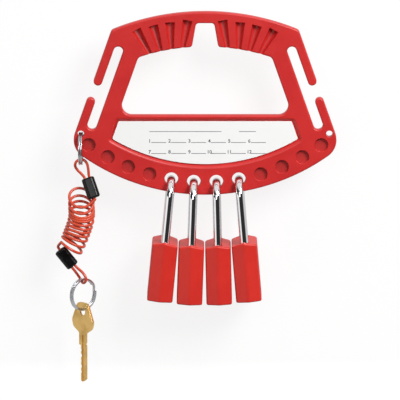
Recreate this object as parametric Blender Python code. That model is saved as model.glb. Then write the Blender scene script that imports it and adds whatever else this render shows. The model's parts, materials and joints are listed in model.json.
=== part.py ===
"""A lock-out padlock carrier: a moulded plate with a grip, a write-on label, four padlocks on its lower edge,
and a key on a curly cord.

Metres, +Z up, +X to the right and +Y away from whoever reads the label. The origin is the middle of the flat top
of the grip's centre notch, where the hook or nail that holds the plate bears.
"""

import math

import bmesh
import bpy
from mathutils import Matrix, Vector

MM = 0.001
GAP = 0.3 * MM  # between pieces that touch
FACET = 0.12 * MM  # how far a flat facet may lie inside the round it stands for
OVERSHOOT = 2 * MM  # how far a cutter runs past the face it enters by

# Carrier plate. Two large arcs, above and below, joined by slanted sides.
PLATE_WIDTH = 198.6 * MM
PLATE_THICKNESS = 7.0 * MM
PLATE_EDGE = 1.2 * MM
SEAT_TO_BOTTOM = 131.7 * MM  # from the hook's seat down to the lowest point
SEAT_TO_TOP = 8.6 * MM
LOWER_RADIUS = 160.0 * MM
UPPER_RADIUS = 184.0 * MM
SIDE_SLANT = math.radians(19.3)
LOWER_CORNER = 15.0 * MM
UPPER_CORNER = 4.0 * MM

# Slot in each side, open to the outside through a mouth between two fingers.
FINGER_WIDTH = 6.6 * MM
SLOT_WIDTH = 7.1 * MM
SLOT_LENGTH = 67.0 * MM
SLOT_MIDDLE = -49.8 * MM
MOUTH_WIDTH = 10.3 * MM
MOUTH_MIDDLE = -52.5 * MM
MEMBER_WIDTH = 12.3 * MM  # between the slot and the hand opening

# Hand opening, its grip above, and the notch in the middle of the grip.
GRIP_DEPTH = 26.6 * MM
OPENING_BOTTOM = -70.5 * MM
OPENING_LOWER_CORNER = 7.5 * MM
OPENING_UPPER_CORNER = 4.5 * MM
NOTCH_WIDTH = 13.5 * MM
NOTCH_SLANT = math.radians(9.8)
NOTCH_CORNER = 2.5 * MM

# Flutes in the front of the grip: two fans of round tapered grooves, half as deep as they are wide.
FLUTES = 4  # in each fan
FLUTE_FIRST = math.radians(-10.3)
FLUTE_STEP = math.radians(13.2)
FLUTE_FOCUS = Vector((23.6 * MM, -55.5 * MM))  # where the middle lines of the right fan meet
FLUTE_TOP_RIM = 6.0 * MM
FLUTE_TOP_WIDTH = 7.2 * MM
FLUTE_LOWER_WIDTH = 3.4 * MM

# Label recess, with sloping walls, and the label in it.
RECESS_TOP_RIM = 3.2 * MM  # bar between the hand opening and the recess
RECESS_SIDE_RIM = 26.1 * MM
RECESS_LOWER_RIM = 20.8 * MM
RECESS_CORNER = 3.0 * MM
RECESS_DEPTH = 2.0 * MM
RECESS_WALL = 1.6 * MM  # how far the sloping wall runs in
LABEL_THICKNESS = 0.7 * MM

# Lock points along the lower edge: the middle ones open, the others closed by a web that is punched out when needed.
LOCK_POINTS = 12
OPEN_POINTS = 4
LOCK_HOLE_RADIUS = 5.15 * MM
LOCK_HOLE_RIM = 10.0 * MM  # from the hole's centre to the plate's edge
ROW_END_INSET = 11.4 * MM  # from the plate's full width in to the last lock point
HOLE_CHAMFER = 0.4 * MM
WEB_THICKNESS = 1.0 * MM

# Lanyard hole in each lower corner.
LANYARD_HOLE_RADIUS = 2.5 * MM
LANYARD_HOLE_RIM = 4.2 * MM
LANYARD_HOLE_ANGLE = math.radians(27.5)

# Padlock body: its narrow sides come to a low ridge, which faces the reader, and its top falls to both sides.
LOCK_WIDTH = 19.4 * MM
LOCK_DEPTH = 38.0 * MM
LOCK_HEIGHT = 45.9 * MM
LOCK_EDGE = 1.2 * MM
RIDGE_HEIGHT = 3.0 * MM
RIDGE_WIDTH = 1.6 * MM
RIDGE_ROUND = 1.5 * MM
SIDE_ROUND = 2.0 * MM
TOP_SLOPE = math.radians(13.0)
LOCK_LEAN = math.radians(0.35)  # of the whole row
SHOULDER_GAP = 0.6 * MM  # between neighbours, so that they pass each other as they swing

# Shackle.
WIRE_RADIUS = 3.175 * MM
CROWN_RADIUS = 12.5 * MM
LEG_LENGTH = 33.2 * MM  # from the crown's centre to the top of the body
TOE_DEPTH = 15.0 * MM
HEEL_DEPTH = 33.0 * MM
LEG_CHAMFER = 0.8 * MM
OPEN_TRAVEL = 15.0 * MM

# Inside a padlock. Depths are measured down from the top of the body.
SHELL_WALL = 1.6 * MM
SHELL_TOP = 2.2 * MM  # under the low sides of the top
CAVITY_ROUND = 0.8 * MM
CASE_DEPTH = 25.0 * MM  # front to back
COVER_THICKNESS = 2.5 * MM
COVER_RECESS = 0.5 * MM
PLUG_RADIUS = 6.2 * MM
PLUG_NOSE_RADIUS = 5.2 * MM
CAM_TOP_DEPTH = 6.3 * MM
CAM_HEIGHT = 5.1 * MM
CAM_HALF_WIDTH = 1.6 * MM
KEYWAY_HEIGHT = 7.0 * MM
KEYWAY_DEPTH = 28.0 * MM
BALL_DEPTH = 8.7 * MM
BALL_RADIUS = 2.4 * MM
BALL_BITE = 1.4 * MM  # how far a ball reaches into its leg
BALL_RETREAT = 0.2  # inward travel of a ball for each unit that the body drops
RETAINER_DEPTH = 14.7 * MM
RETAINER_RADIUS = 1.0 * MM
RETAINER_BITE = 1.1 * MM
SPRING_ROOM = 8.5 * MM
SPRING_WIRE = 0.4 * MM
SPRING_TURNS = 4

# Split rings: two turns of flat wire side by side.
RING_RADIUS = 12.5 * MM
RING_WIRE_HIGH = 1.8 * MM
RING_WIRE_WIDE = 1.35 * MM
RING_TURN_GAP = 0.2 * MM
RING_JOG = math.radians(14.0)  # half of the stretch where the wire crosses from one turn to the other
RING_SEAT = 0.8 * MM  # the flat wire rests on a cord's bend by its two corners, this far above the lowest point
RING_TURN = math.radians(-48.0)  # how the lower ring and the key are turned about the vertical

# Cord. Its routes are lists of points; the coil is a solid of its outer shape.
CORD_RADIUS = 1.05 * MM
COIL_RADIUS = 10.2 * MM
CORD_POINT_STEP = 5.0 * MM
COIL_POINT_STEP = 7.0 * MM
UPPER_LOOP = [
    (-91.0, 0.0, -119.6), (-91.7, 0.2, -118.2), (-93.7, 0.1, -115.9), (-96.6, 0.0, -112.9),
    (-98.2, 0.0, -110.0), (-97.7, 0.0, -107.3), (-95.8, 0.0, -105.5), (-93.3, 0.0, -105.1),
    (-91.0, 0.0, -105.9), (-89.3, 0.0, -108.1), (-88.5, 0.0, -111.2), (-88.1, 0.1, -114.6),
    (-87.9, 0.3, -117.0), (-87.4, 0.2, -118.9),
]
COIL_AXIS = [
    (-93.6, -3.0, -136.0), (-93.5, -1.1, -141.0), (-93.3, 0.0, -146.3), (-93.8, 0.0, -151.3),
    (-95.3, 0.0, -156.8), (-97.3, 0.0, -162.2), (-99.6, 0.0, -167.9), (-102.1, 0.0, -173.6),
]
LOWER_LOOP = [
    (-101.1, 0.0, -187.8), (-100.0, 0.1, -189.2), (-97.9, 1.4, -192.2), (-96.0, 2.9, -195.2),
    (-94.8, 3.4, -197.2), (-93.9, 2.6, -199.0), (-92.4, 0.0, -200.2), (-90.9, -2.6, -199.0),
    (-90.1, -3.4, -196.9), (-90.9, -3.1, -194.2), (-93.1, -2.0, -191.4), (-96.0, -0.7, -189.1),
    (-97.8, -0.1, -187.4), (-98.9, 0.0, -186.0),
]
FERRULE_WIDTH = 9.2 * MM
FERRULE_DEPTH = 6.0 * MM
FERRULE_LENGTH = 14.6 * MM
FERRULE_ROUND = 2.7 * MM
FERRULE_EDGE = 0.8 * MM
UPPER_FERRULE = ((-88.7, 0.0, -119.9), (-83.8, -3.5, -133.9))
LOWER_FERRULE = ((-109.4, 0.0, -175.2), (-100.6, 0.0, -186.2))

# Key, flat, with its round bow up. Heights are measured from the centre of its hole.
KEY_THICKNESS = 2.0 * MM
KEY_EDGE = 0.25 * MM
KEY_HOLE_RADIUS = 3.1 * MM
KEY_TOP = 6.9 * MM
KEY_TIP = -54.6 * MM
BOW_HALF_WIDTH = 12.0 * MM
BOW_WIDEST = -7.5 * MM
BOW_UPPER_SLANT = math.radians(24.0)
BOW_LOWER_SLANT = math.radians(-18.0)
BOW_SHOULDER_SLANT = math.radians(-60.0)
BOW_SHOULDER = -16.5 * MM
BOW_ROUND = 5.0 * MM
NECK_HALF_WIDTH = 3.8 * MM
SHOULDER_HEIGHT = -26.0 * MM
SHOULDER_STEP = 1.4 * MM
BITTING_DEPTHS = [1.1 * MM, 1.9 * MM, 0.8 * MM, 1.5 * MM, 1.1 * MM]
BITTING_PITCH = 4.2 * MM
BITTING_FIRST = 4.0 * MM  # below the shoulder
BITTING_HALF_WIDTH = 1.3 * MM
GROOVE_WIDTH = 1.5 * MM
GROOVE_DEPTH = 0.55 * MM
GROOVE_OFFSET = 0.6 * MM

COLOURS = {  # base colour, roughness, metallic
    "red_plastic": ((0.58, 0.035, 0.035), 0.42, 0.0),
    "lock_plastic": ((0.62, 0.05, 0.035), 0.45, 0.0),
    "label_card": ((0.86, 0.86, 0.84), 0.35, 0.0),
    "chrome": ((0.85, 0.85, 0.86), 0.08, 1.0),
    "zinc": ((0.55, 0.55, 0.56), 0.4, 1.0),
    "brass": ((0.62, 0.42, 0.16), 0.3, 1.0),
    "steel": ((0.6, 0.6, 0.62), 0.25, 1.0),
    "cord_plastic": ((0.68, 0.07, 0.03), 0.35, 0.0),
    "black_plastic": ((0.012, 0.012, 0.012), 0.25, 0.0),
}


# ---------------------------------------------------------------------------------------------------------------
# Outlines: a closed line in a plane, the same on both sides of its centre line, made of straight and round edges.


def unit(angle):
    return Vector((math.cos(angle), math.sin(angle)))


def arc_steps(radius, turn):
    """How many facets a round needs to stay within FACET of it."""
    return max(2, math.ceil(abs(turn) / math.sqrt(8 * FACET / radius)))


class Straight:
    """A straight edge through a point. Its angle is that of the way out of the outline."""

    def __init__(self, point, angle):
        self.point = Vector(point)
        self.out = unit(angle)

    def normal(self, place):
        return self.out

    def outside(self, place):
        return (place - self.point).dot(self.out)

    def moved_in(self, distance):
        return Straight(self.point - distance * self.out, math.atan2(self.out.y, self.out.x))

    def between(self, first, last, inset):
        return []


class Round:
    """A round edge that bulges out of the outline."""

    def __init__(self, centre, radius):
        self.centre = Vector(centre)
        self.radius = radius

    def normal(self, place):
        return (place - self.centre).normalized()

    def outside(self, place):
        return (place - self.centre).length - self.radius

    def between(self, first, last, inset):
        return arc_points(self.centre, self.radius - inset, first, last, arc_steps(self.radius, last - first))


def arc_points(centre, radius, first, last, steps):
    """Points from one angle to another by the shorter way, with both ends."""
    turn = (last - first + math.pi) % math.tau - math.pi
    return [centre + radius * unit(first + turn * step / steps) for step in range(steps + 1)]


def corner_centre(first, second, radius):
    """Centre of the arc that rounds the corner of two edges. A negative radius rounds a corner that points in."""
    place = Vector((PLATE_WIDTH / 2, -SEAT_TO_BOTTOM / 2))
    for _ in range(20):
        miss = Vector((first.outside(place) + radius, second.outside(place) + radius))
        place = place - Matrix((first.normal(place), second.normal(place))).inverted() @ miss
    return place


def outline(edges, radii, inset=0.0):
    """The closed outline whose right half has these edges, from the bottom up, and these corner radii between them."""
    angle = -math.pi / 2
    right = []
    for first, second, radius in zip(edges, edges[1:], radii):
        centre = corner_centre(first, second, radius)
        start, end = (math.atan2(way.y, way.x) for way in (first.normal(centre), second.normal(centre)))
        turn = (end - start + math.pi) % math.tau - math.pi
        along = first.between(angle, start, inset)[:-1]
        right += along[1:] if right else along
        right += arc_points(centre, radius - inset, start, end, arc_steps(abs(radius), turn))
        angle = end
    right += edges[-1].between(angle, math.pi / 2, inset)[1:]
    left = [Vector((-point.x, point.y)) for point in reversed(right) if point.x > 0.01 * MM]
    return right + left


def circle(x, y, radius):
    """An outline for each inset of a circle."""
    steps = arc_steps(radius, math.tau)
    return lambda inset: [Vector((x, y)) + (radius - inset) * unit(math.tau * k / steps) for k in range(steps)]


# ---------------------------------------------------------------------------------------------------------------
# Solids.


def solid(rings):
    """A mesh whose skin runs from ring to ring of points, with its first and last ring filled in."""
    mesh = bmesh.new()
    rows = [[mesh.verts.new(point) for point in ring] for ring in rings]
    for low, high in zip(rows, rows[1:]):
        for k, vertex in enumerate(low):
            after = (k + 1) % len(low)
            mesh.faces.new((vertex, low[after], high[after], high[k]))
    mesh.faces.new(rows[0])
    mesh.faces.new(rows[-1])
    bmesh.ops.recalc_face_normals(mesh, faces=mesh.faces)
    made = bpy.data.meshes.new("solid")
    mesh.to_mesh(made)
    mesh.free()
    return made


def slab(shape, levels, across="Y"):
    """A solid between levels along Y or Z. Each level is a height and how far the outline is drawn in there."""
    if across == "Y":
        return solid([[(point.x, level, point.y) for point in shape(inset)] for level, inset in levels])
    return solid([[(point.x, point.y, level) for point in shape(inset)] for level, inset in levels])


def rounded(low, high, edge, steps=2):
    """Levels of a slab whose two rims are rounded."""
    quarter = [math.pi / 2 * step / steps for step in range(steps + 1)]
    rise = [(edge * (1 - math.cos(angle)), edge * (1 - math.sin(angle))) for angle in quarter]
    return [(low + up, inset) for up, inset in rise] + [(high - up, inset) for up, inset in reversed(rise)]


def flared(low, high, edge, steps=2):
    """Levels of a cutter that goes right through a slab and rounds both rims of the hole."""
    through = [(level, -inset) for level, inset in rounded(low, high, edge, steps)]
    return [(low - OVERSHOOT, -edge)] + through + [(high + OVERSHOOT, -edge)]


def rod(start, end, radius):
    """A round bar between two points."""
    return tube([Vector(start), Vector(end)], [radius, radius])


def tube(path, radii, sides=None):
    """A round skin along a path, with a radius for each of its points."""
    sides = sides or arc_steps(max(radii), math.tau)
    rings = []
    across = Vector((1, 0, 0))
    for k, point in enumerate(path):
        way = (path[min(k + 1, len(path) - 1)] - path[max(k - 1, 0)]).normalized()
        if abs(way.dot(across)) > 0.9:
            across = Vector((0, 0, 1)) if abs(way.z) < 0.9 else Vector((0, 1, 0))
        across = (across - across.dot(way) * way).normalized()
        over = way.cross(across)
        angles = [math.tau * side / sides for side in range(sides)]
        rings.append([point + radii[k] * (math.cos(a) * across + math.sin(a) * over) for a in angles])
    return solid(rings)


def roofed(shape, levels, drop):
    """A slab along Z whose top falls away from the middle by a share of X. The shape is the same on all four sides."""
    low, high = levels[0], levels[-1]
    rings = []
    for level, inset in levels:
        share = drop * (level - low[0]) / (high[0] - low[0])
        rings.append([(point.x, point.y, level - share * abs(point.x)) for point in shape(inset)])
    mesh = bmesh.new()
    rows = [[mesh.verts.new(point) for point in ring] for ring in rings]
    count = len(rings[0])
    for below, above in zip(rows, rows[1:]):
        for k in range(count):
            after = (k + 1) % count
            mesh.faces.new((below[k], below[after], above[after], above[k]))
    mesh.faces.new(rows[0])
    # The top is filled with strips from front to back, so that each half of the roof stays flat.
    half = count // 2
    for k in range(-half // 2, half // 2 - 1):
        front, back = (k, k + 1), (half - 2 - k, half - 1 - k)
        mesh.faces.new([rows[-1][index % count] for index in front + back])
    bmesh.ops.recalc_face_normals(mesh, faces=mesh.faces)
    made = bpy.data.meshes.new("roofed")
    mesh.to_mesh(made)
    mesh.free()
    return made


def block(low, high):
    """A box between two corners."""
    corners = [(low[0], low[1]), (high[0], low[1]), (high[0], high[1]), (low[0], high[1])]
    return solid([[(x, y, level) for x, y in corners] for level in (low[2], high[2])])


def carved(mesh, *cutters):
    """The mesh with each cutter's shape taken out of it."""
    piece = bpy.data.objects.new("piece", mesh)
    helpers = [bpy.data.objects.new("cutter", cutter) for cutter in cutters]
    for item in [piece] + helpers:
        bpy.context.scene.collection.objects.link(item)
    for helper in helpers:
        modifier = piece.modifiers.new("cut", "BOOLEAN")
        modifier.object = helper
    graph = bpy.context.evaluated_depsgraph_get()
    result = bpy.data.meshes.new_from_object(piece.evaluated_get(graph))
    for item in [piece] + helpers:
        bpy.data.objects.remove(item)
    return result


def joined(meshes):
    """Several separate solids as one mesh, for one cut."""
    whole = bmesh.new()
    for mesh in meshes:
        whole.from_mesh(mesh)
    made = bpy.data.meshes.new("solids")
    whole.to_mesh(made)
    whole.free()
    return made


# ---------------------------------------------------------------------------------------------------------------
# Objects and their materials.


def material(name):
    found = bpy.data.materials.get(name)
    if found:
        return found
    made = bpy.data.materials.new(name)
    made.use_nodes = True
    shader = made.node_tree.nodes["Principled BSDF"]
    colour, roughness, metallic = COLOURS[name]
    shader.inputs["Base Color"].default_value = (*colour, 1)
    shader.inputs["Roughness"].default_value = roughness
    shader.inputs["Metallic"].default_value = metallic
    made.diffuse_color = (*colour, 1)
    return made


def add(name, mesh, finish, parent=None):
    """A named piece. Its mesh is in its parent's frame."""
    if not mesh.materials:
        mesh.name = name
        mesh.materials.append(material(finish))
        mesh.shade_smooth()
        mesh.set_sharp_from_angle(angle=math.radians(32))
    piece = bpy.data.objects.new(name, mesh)
    piece.parent = parent
    bpy.context.scene.collection.objects.link(piece)
    return piece


def axis_frame(name, place, turn=(0, 0, 0)):
    """An empty on a joint's axis."""
    empty = bpy.data.objects.new(name, None)
    empty.location = place
    empty.rotation_euler = turn
    empty.empty_display_size = 5 * MM
    bpy.context.scene.collection.objects.link(empty)
    return empty


def millimetres(point):
    return Vector(point) * MM


# ---------------------------------------------------------------------------------------------------------------
# Carrier plate and label.

FRONT = -PLATE_THICKNESS / 2
BACK = PLATE_THICKNESS / 2
LOWER_CENTRE = Vector((0, LOWER_RADIUS - SEAT_TO_BOTTOM))
UPPER_CENTRE = Vector((0, SEAT_TO_TOP - UPPER_RADIUS))
ALONG_SIDE = Vector((-math.sin(SIDE_SLANT), math.cos(SIDE_SLANT)))


def lower_corner_centre():
    """Centre of the plate's lower right corner: inside the lower arc, and its radius in from the full width."""
    x = PLATE_WIDTH / 2 - LOWER_CORNER
    reach = LOWER_RADIUS - LOWER_CORNER
    return Vector((x, LOWER_CENTRE.y - math.sqrt(reach**2 - x**2)))


def side_line():
    """The slanted side that runs up from the lower corner."""
    return Straight(lower_corner_centre() + LOWER_CORNER * unit(SIDE_SLANT), SIDE_SLANT)


def crossing_line(height, depth, offset, angle):
    """A line square to the side. It is placed from the point that lies this deep in the side at this height."""
    inner = side_line().moved_in(depth)
    along = (height - inner.point.y) / ALONG_SIDE.y
    return Straight(inner.point + (along + offset) * ALONG_SIDE, angle)


def plate_outline(inset):
    """The outer line of the plate, in and out of both side slots."""
    up, down = SIDE_SLANT + math.pi / 2, SIDE_SLANT - math.pi / 2
    side = side_line()
    finger_inside = Straight(side.moved_in(FINGER_WIDTH).point, SIDE_SLANT + math.pi)
    member_outside = side.moved_in(FINGER_WIDTH + SLOT_WIDTH)
    slot_middle = FINGER_WIDTH + SLOT_WIDTH / 2
    slot_bottom = crossing_line(SLOT_MIDDLE, slot_middle, -SLOT_LENGTH / 2, up)
    slot_top = crossing_line(SLOT_MIDDLE, slot_middle, SLOT_LENGTH / 2, down)
    lower_tip = crossing_line(MOUTH_MIDDLE, FINGER_WIDTH / 2, -MOUTH_WIDTH / 2, up)
    upper_tip = crossing_line(MOUTH_MIDDLE, FINGER_WIDTH / 2, MOUTH_WIDTH / 2, down)
    tip = FINGER_WIDTH / 2 - 0.1 * MM
    end = -(SLOT_WIDTH / 2 - 0.1 * MM)
    lower_arc = Round(LOWER_CENTRE, LOWER_RADIUS)
    upper_arc = Round(UPPER_CENTRE, UPPER_RADIUS)
    edges = [
        lower_arc, side, lower_tip, finger_inside, slot_bottom, member_outside,
        slot_top, finger_inside, upper_tip, side, upper_arc,
    ]
    radii = [LOWER_CORNER, tip, tip, end, end, end, end, tip, tip, UPPER_CORNER]
    return outline(edges, radii, inset)


def opening_outline(inset):
    """The hand opening, with the notch for the hook in the middle of its upper edge."""
    bottom = Straight((0, OPENING_BOTTOM), -math.pi / 2)
    side = side_line().moved_in(FINGER_WIDTH + SLOT_WIDTH + MEMBER_WIDTH)
    grip = Round(UPPER_CENTRE, UPPER_RADIUS - GRIP_DEPTH)
    notch_side = Straight((NOTCH_WIDTH / 2, 0), NOTCH_SLANT)
    seat = Straight((0, 0), math.pi / 2)
    radii = [OPENING_LOWER_CORNER, OPENING_UPPER_CORNER, -NOTCH_CORNER, NOTCH_CORNER]
    return outline([bottom, side, grip, notch_side, seat], radii, inset)


def recess_outline(inset):
    """The label recess at the plate's front face."""
    lower = Round(LOWER_CENTRE, LOWER_RADIUS - RECESS_LOWER_RIM)
    side = side_line().moved_in(RECESS_SIDE_RIM)
    top = Straight((0, OPENING_BOTTOM - RECESS_TOP_RIM), math.pi / 2)
    return outline([lower, side, top], [RECESS_CORNER, RECESS_CORNER], inset)


def lock_point(index):
    """Centre of a lock point, numbered from the left. The row is spaced evenly between its two ends."""
    reach = LOWER_RADIUS - LOCK_HOLE_RIM
    row_end = math.asin((PLATE_WIDTH / 2 - ROW_END_INSET) / reach)
    angle = -math.pi / 2 + row_end * (2 * index / (LOCK_POINTS - 1) - 1)
    return LOWER_CENTRE + reach * unit(angle)


def lanyard_hole(side):
    centre = lower_corner_centre() + (LOWER_CORNER - LANYARD_HOLE_RIM) * unit(LANYARD_HOLE_ANGLE)
    return Vector((side * centre.x, centre.y))


def lock_point_cutters():
    """A hole through at each open point. A pocket from each face at a closed one."""
    first_open = (LOCK_POINTS - OPEN_POINTS) // 2
    cutters = []
    for index in range(LOCK_POINTS):
        shape = circle(*lock_point(index), LOCK_HOLE_RADIUS)
        if first_open <= index < first_open + OPEN_POINTS:
            cutters.append(slab(shape, flared(FRONT, BACK, HOLE_CHAMFER, steps=1)))
            continue
        for face, floor in ((FRONT - OVERSHOOT, -WEB_THICKNESS / 2), (WEB_THICKNESS / 2, BACK + OVERSHOOT)):
            cutters.append(slab(shape, [(face, 0), (floor, 0)]))
    return cutters


def flute_end(way, side, radius):
    """Where a flute's middle line crosses a circle about the centre of the plate's upper arc."""
    start = Vector((side * FLUTE_FOCUS.x, FLUTE_FOCUS.y)) - UPPER_CENTRE
    along = start.dot(way)
    place = UPPER_CENTRE + start + way * (math.sqrt(along**2 - start.length_squared + radius**2) - along)
    return Vector((place.x, FRONT, place.y))


def flute_cutter(angle, side):
    """A cone whose axis lies in the front face, from under the grip's upper rim to past its lower edge."""
    way = Vector((side * math.sin(angle), math.cos(angle)))
    top = flute_end(way, side, UPPER_RADIUS - FLUTE_TOP_RIM)
    low = flute_end(way, side, UPPER_RADIUS - GRIP_DEPTH)
    past = OVERSHOOT / (top - low).length
    taper = FLUTE_TOP_WIDTH - FLUTE_LOWER_WIDTH
    widths = FLUTE_LOWER_WIDTH - past * taper, FLUTE_TOP_WIDTH
    return tube([low + past * (low - top), top], [width / 2 for width in widths])


def make_plate():
    plate = slab(plate_outline, rounded(FRONT, BACK, PLATE_EDGE))
    opening = slab(opening_outline, flared(FRONT, BACK, PLATE_EDGE))
    recess = slab(recess_outline, [(FRONT - OVERSHOOT, 0), (FRONT, 0), (FRONT + RECESS_DEPTH, RECESS_WALL)])
    holes = lock_point_cutters()
    for side in (-1, 1):
        shape = circle(*lanyard_hole(side), LANYARD_HOLE_RADIUS)
        holes.append(slab(shape, flared(FRONT, BACK, HOLE_CHAMFER, steps=1)))
    flutes = [flute_cutter(FLUTE_FIRST + k * FLUTE_STEP, side) for k in range(FLUTES) for side in (-1, 1)]
    add("carrier_plate", carved(plate, opening, recess, joined(holes), joined(flutes)), "red_plastic")


def make_label():
    floor = FRONT + RECESS_DEPTH - GAP
    wall_at_face = RECESS_WALL + GAP
    levels = [(floor - LABEL_THICKNESS, wall_at_face), (floor, wall_at_face)]
    add("write_on_label", slab(recess_outline, levels), "label_card")


# ---------------------------------------------------------------------------------------------------------------
# Padlock, in a frame at the centre of its shackle's crown: X across the row, Z up, the toe leg in front.

LOCK_TOP = -LEG_LENGTH
LOCK_BOTTOM = LOCK_TOP - LOCK_HEIGHT
TOP_DROP = LOCK_WIDTH / 2 * math.tan(TOP_SLOPE)
CAVITY_TOP = LOCK_TOP - TOP_DROP - SHELL_TOP
BORE_RADIUS = WIRE_RADIUS + GAP
CROWN_INSIDE = CROWN_RADIUS - WIRE_RADIUS
LEG_INSIDE = CROWN_INSIDE  # how far the inner side of a leg lies from the middle
BALL_PLACE = LEG_INSIDE + BALL_BITE - BALL_RADIUS
BALL_LEVEL = LOCK_TOP - BALL_DEPTH
CASE_TOP = CAVITY_TOP - GAP
COVER_BOTTOM = LOCK_BOTTOM + COVER_RECESS
COVER_TOP = COVER_BOTTOM + COVER_THICKNESS
CASE_BOTTOM = COVER_TOP + GAP
CAM_TOP = LOCK_TOP - CAM_TOP_DEPTH
CAM_BOTTOM = CAM_TOP - CAM_HEIGHT
PLUG_TOP = CAM_BOTTOM - GAP
HEEL_END = LOCK_TOP - HEEL_DEPTH
TOE_END = LOCK_TOP - TOE_DEPTH
SPRING_SEAT = HEEL_END - SPRING_ROOM
RETAINER_PLACE = LEG_INSIDE + RETAINER_BITE - RETAINER_RADIUS
RETAINER_LEVEL = LOCK_TOP - RETAINER_DEPTH
RETAINER_HALF_LENGTH = LOCK_WIDTH / 2 - SHELL_WALL - GAP - RETAINER_RADIUS


def ridge_face():
    """The sloping face from the wide side to the ridge."""
    run, rise = (LOCK_WIDTH - RIDGE_WIDTH) / 2, RIDGE_HEIGHT
    return Straight((RIDGE_WIDTH / 2, LOCK_DEPTH / 2), math.atan2(run, rise))


def mirrored(edge):
    """The same edge on the other side of the X axis."""
    return Straight((edge.point.x, -edge.point.y), -math.atan2(edge.out.y, edge.out.x))


def lock_outline(inset):
    ridge = Straight((0, LOCK_DEPTH / 2), math.pi / 2)
    wide = Straight((LOCK_WIDTH / 2, 0), 0)
    edges = [mirrored(ridge), mirrored(ridge_face()), wide, ridge_face(), ridge]
    return outline(edges, [RIDGE_ROUND, SIDE_ROUND, SIDE_ROUND, RIDGE_ROUND], inset)


def cavity_outline(inset):
    """The space for the lock case inside the body."""
    end = Straight((0, CASE_DEPTH / 2), math.pi / 2)
    wide = Straight((LOCK_WIDTH / 2 - SHELL_WALL, 0), 0)
    return outline([mirrored(end), wide, end], [CAVITY_ROUND] * 2, inset)


def leg_bores(radius):
    """Cutters for the two holes that the legs run in."""
    toe = rod((0, -CROWN_RADIUS, LOCK_TOP + OVERSHOOT), (0, -CROWN_RADIUS, TOE_END - GAP), radius)
    heel = rod((0, CROWN_RADIUS, LOCK_TOP + OVERSHOOT), (0, CROWN_RADIUS, SPRING_SEAT), radius)
    return [toe, heel]


def body_mesh():
    body = roofed(lock_outline, rounded(LOCK_BOTTOM, LOCK_TOP, LOCK_EDGE), math.tan(TOP_SLOPE))
    cavity = slab(cavity_outline, [(LOCK_BOTTOM - OVERSHOOT, 0), (CAVITY_TOP, 0)], "Z")
    return carved(body, cavity, *leg_bores(BORE_RADIUS))


def case_mesh():
    """The zinc block: a bore for the plug and cam, a cross channel for the balls and a cross hole for the retainer."""
    block_levels = [(CASE_BOTTOM, GAP), (CASE_TOP, GAP)]
    case = slab(cavity_outline, block_levels, "Z")
    plug_bore = rod((0, 0, CASE_BOTTOM - OVERSHOOT), (0, 0, CAM_TOP + GAP), PLUG_RADIUS + GAP)
    channel_end = CROWN_RADIUS
    channel = rod((0, -channel_end, BALL_LEVEL), (0, channel_end, BALL_LEVEL), BALL_RADIUS + GAP)
    past_side = LOCK_WIDTH / 2
    cross_hole = rod(
        (-past_side, RETAINER_PLACE, RETAINER_LEVEL), (past_side, RETAINER_PLACE, RETAINER_LEVEL),
        RETAINER_RADIUS + GAP,
    )
    return carved(case, plug_bore, *leg_bores(BORE_RADIUS), channel, cross_hole)


def cover_mesh():
    cover = slab(cavity_outline, [(COVER_BOTTOM, GAP), (COVER_TOP, GAP)], "Z")
    hole = rod((0, 0, COVER_BOTTOM - OVERSHOOT), (0, 0, COVER_TOP + OVERSHOOT), PLUG_NOSE_RADIUS + GAP)
    return carved(cover, hole)


def plug_mesh():
    """The plug that the key turns. Its nose shows in the base cover and its shoulder sits on the cover."""
    path = [(0, 0, COVER_BOTTOM), (0, 0, CASE_BOTTOM), (0, 0, CASE_BOTTOM), (0, 0, PLUG_TOP)]
    radii = [PLUG_NOSE_RADIUS, PLUG_NOSE_RADIUS, PLUG_RADIUS, PLUG_RADIUS]
    sides = arc_steps(PLUG_RADIUS, math.tau)
    rings = []
    for (x, y, z), radius in zip(path, radii):
        rings.append([(*(radius * unit(math.tau * side / sides)), z) for side in range(sides)])
    keyway_width = KEY_THICKNESS + 2 * GAP
    keyway = block(
        (-keyway_width / 2, -KEYWAY_HEIGHT / 2, COVER_BOTTOM - OVERSHOOT),
        (keyway_width / 2, KEYWAY_HEIGHT / 2, COVER_BOTTOM + KEYWAY_DEPTH),
    )
    return carved(solid(rings), keyway)


def cam_mesh():
    """The blade on top of the plug. Its tips hold the balls out."""
    reach = BALL_PLACE - BALL_RADIUS - GAP
    tip = Straight((0, reach), math.pi / 2)
    side = Straight((CAM_HALF_WIDTH, 0), 0)
    corner = CAM_HALF_WIDTH - 0.05 * MM
    return slab(lambda inset: outline([mirrored(tip), side, tip], [corner] * 2), [(CAM_BOTTOM, 0), (CAM_TOP, 0)], "Z")


def ball_mesh(side):
    ball = bmesh.new()
    bmesh.ops.create_icosphere(ball, subdivisions=2, radius=BALL_RADIUS)
    bmesh.ops.translate(ball, verts=ball.verts, vec=(0, side * BALL_PLACE, BALL_LEVEL))
    made = bpy.data.meshes.new("ball")
    ball.to_mesh(made)
    ball.free()
    return made


def ball_notch(side):
    """Cutter for the notch in a leg: the room that a ball takes as the body drops and the ball draws in."""
    sides = 12
    radius = (BALL_RADIUS + GAP) / math.cos(math.pi / sides)
    start = Vector((0, side * BALL_PLACE, BALL_LEVEL))
    way = Vector((0, -side * BALL_RETREAT, -1))
    drop = (BALL_BITE + GAP) / BALL_RETREAT
    dome = [math.radians(angle) for angle in (-72, -40, 0)]
    path = [start + way.normalized() * radius * math.sin(angle) for angle in dome]
    path += [start + way * drop - way.normalized() * radius * math.sin(angle) for angle in reversed(dome)]
    radii = [radius * math.cos(angle) for angle in dome + dome[::-1]]
    return tube(path, radii, sides)


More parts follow.
